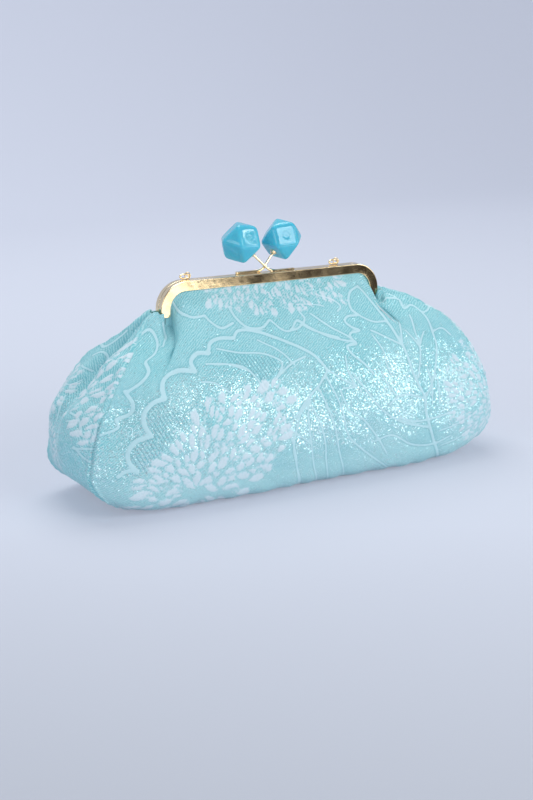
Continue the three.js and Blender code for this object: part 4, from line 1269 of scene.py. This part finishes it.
def collar(name, side, body):
    """A collar: its profile (distance along the stem, radius), turned about the stem."""
    way = stem_way(side)[1]
    foot = BEAD_MIDDLE[side] - way * (BEAD_REACH + 0.2 + COLLAR_LENGTH)
    bore = STEM_RADIUS + 0.05
    profile = np.array([(0.0, bore), (-0.05, 1.35), (0.15, 1.5), (0.55, 1.62), (0.9, 1.8), (1.15, 2.05),
                        (1.35, COLLAR_RADIUS), (COLLAR_LENGTH, 2.0), (COLLAR_LENGTH, bore)])
    turn = np.linspace(0, 2 * math.pi, 33)[:-1]
    along_stem, radius = profile[:, :1], profile[:, 1:]
    local = np.stack(np.broadcast_arrays(radius * np.cos(turn), along_stem, radius * np.sin(turn)), -1)
    points = foot + local @ basis(way, np.array([0.0, -1.0, 0.0]))
    piece = mesh_of(name, points, wrapped_faces(len(profile), len(turn)))
    piece.data.set_sharp_from_angle(angle=math.radians(60))
    dress(piece, GOLD, name)
    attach(piece, body)


collar("left_bead_collar", -1, "front_half")
collar("right_bead_collar", 1, "rear_half")


# The beads: sky-blue acrylic, moulded as a block with its corners cut to the middles of its
# edges, so each has six square faces and eight triangles, tumbled until the edges are soft.
BEAD_FRONT = {-1: np.array([0.179, -0.899, 0.4]), 1: np.array([-0.198, -0.894, 0.403])}


def acrylic():
    """Milky blue acrylic: colour that light enters a little way, under a polished skin."""
    material, add = shader("blue_acrylic")
    place = add("TexCoord").outputs["Object"]
    cloud = add("TexNoise", {"Vector": place, "Scale": 90.0, "Detail": 2.0}).outputs[0]
    wavy = add("TexNoise", {"Vector": place, "Scale": 110.0, "Detail": 1.0}).outputs[0]
    bump = add("Bump", {"Strength": 0.25, "Distance": 0.0006, "Height": wavy})
    body = add("BsdfPrincipled", {
        "Base Color": tint(add, cloud, linear(72, 184, 212), linear(94, 202, 224)),
        "Roughness": 0.07, "IOR": 1.5, "Subsurface Weight": 0.55,
        "Subsurface Radius": (0.25, 0.8, 1.0), "Subsurface Scale": 0.006, "Normal": bump.outputs[0],
    })
    add("OutputMaterial", {"Surface": body.outputs[0]})
    return material


ACRYLIC = acrylic()


def bead(name, side, body):
    """The bead's surface in each direction: the distance to its fourteen faces, blended by a high
    power mean so that the edges between them are round. It is grown a little to make up for that,
    and each square face has a shallow hollow in its middle."""
    power, grown, hollow = 18.0, 0.5, 0.22
    square = np.vstack([np.eye(3), -np.eye(3)]) / BEAD_REACH
    corners = np.array([(a, b, c) for a in (-1, 1) for b in (-1, 1) for c in (-1, 1)], float)
    sides = np.vstack([square, corners / math.sqrt(3) / (BEAD_EDGE * math.sqrt(2 / 3))])
    tilt = np.linspace(0, math.pi, 73)[1:-1, None]
    turn = np.linspace(0, 2 * math.pi, 145)[None, :-1]
    x, z = np.sin(tilt) * np.cos(turn), np.sin(tilt) * np.sin(turn)
    away = np.stack(np.broadcast_arrays(x, np.cos(tilt), z), -1)
    rings, around = away.shape[:2]
    poles = np.array([[0, 1.0, 0], [0, -1.0, 0]])
    away = np.concatenate([poles[:1], away.reshape(-1, 3), poles[1:]])
    radius = np.sum(np.clip(away @ sides.T, 0, None) ** power, -1) ** (-1 / power)
    off_square = np.arccos(np.clip(np.max(away @ np.sign(square).T, -1), -1, 1))
    radius = radius + grown - hollow * (1 - smooth(off_square, 0.12, 0.36))
    points = BEAD_MIDDLE[side] + away * radius[:, None] @ basis(-stem_way(side)[1], BEAD_FRONT[side])
    j = np.arange(around)
    k = (j + 1) % around
    last, end = 1 + (rings - 1) * around, 1 + rings * around
    caps = [np.stack([0 * j, 1 + k, 1 + j], -1), np.stack([0 * j + end, last + j, last + k], -1)]
    piece = mesh_of(name, points, [tube_faces(rings, around, 1)[0], *caps])
    dress(piece, ACRYLIC, name)
    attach(piece, body)


bead("left_bead", -1, "front_half")
bead("right_bead", 1, "rear_half")


# The chain loops: an almond-shaped eye of wire soldered to the rear half near each corner, and in
# each a small open ring, where a chain can be hooked on.
LOOP_X = {"left": -56.7, "right": 45.6}
LOOP_REACH = 3.1
LOOP_LEAN = 0.18
LOOP_WIRE = 0.5
LOOP_TOP = 128.0
RING_WIRE = 0.35
RING_RADIUS = 1.7
RING_OFFSET = 1.8
RING_DROP = 0.9
RING_TURN = math.radians(40)


def chain_loop(hand, middle):
    """A loop: an ellipse of wire on the channel's back, drawn out towards its outer end."""
    turn = np.linspace(0, 2 * math.pi, 65)[:-1]
    low = TOP + 0.1 + LOOP_WIRE
    x = middle + LOOP_REACH * np.cos(turn)
    z = (low + LOOP_TOP) / 2 + (LOOP_TOP - low) / 2 * np.sin(turn) * (1 - LOOP_LEAN * np.cos(turn))
    way = np.stack([x, 0 * turn + CHANNEL_MIDDLE, z], -1)
    piece = mesh_of("chain_loop_" + hand, *tube(way, LOOP_WIRE, 14, closed=True))
    dress(piece, GOLD, "chain_loop_" + hand)
    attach(piece, "rear_half")


def jump_ring(hand, middle):
    """A ring that hangs on its loop's top wire, turned askew, with a narrow gap between its ends."""
    turn = np.linspace(math.radians(4), math.radians(356), 61) + math.radians(200)
    out = RING_RADIUS * np.cos(turn)
    ring = [-out * math.sin(RING_TURN), out * math.cos(RING_TURN), RING_RADIUS * np.sin(turn)]
    way = [middle + RING_OFFSET, CHANNEL_MIDDLE, LOOP_TOP - RING_DROP] + np.stack(ring, -1)
    piece = mesh_of("jump_ring_" + hand, *tube(way, RING_WIRE, 12))
    dress(piece, GOLD, "jump_ring_" + hand)
    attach(piece, hand + "_ring")


for hand, middle in LOOP_X.items():
    chain_loop(hand, middle)
    jump_ring(hand, middle)
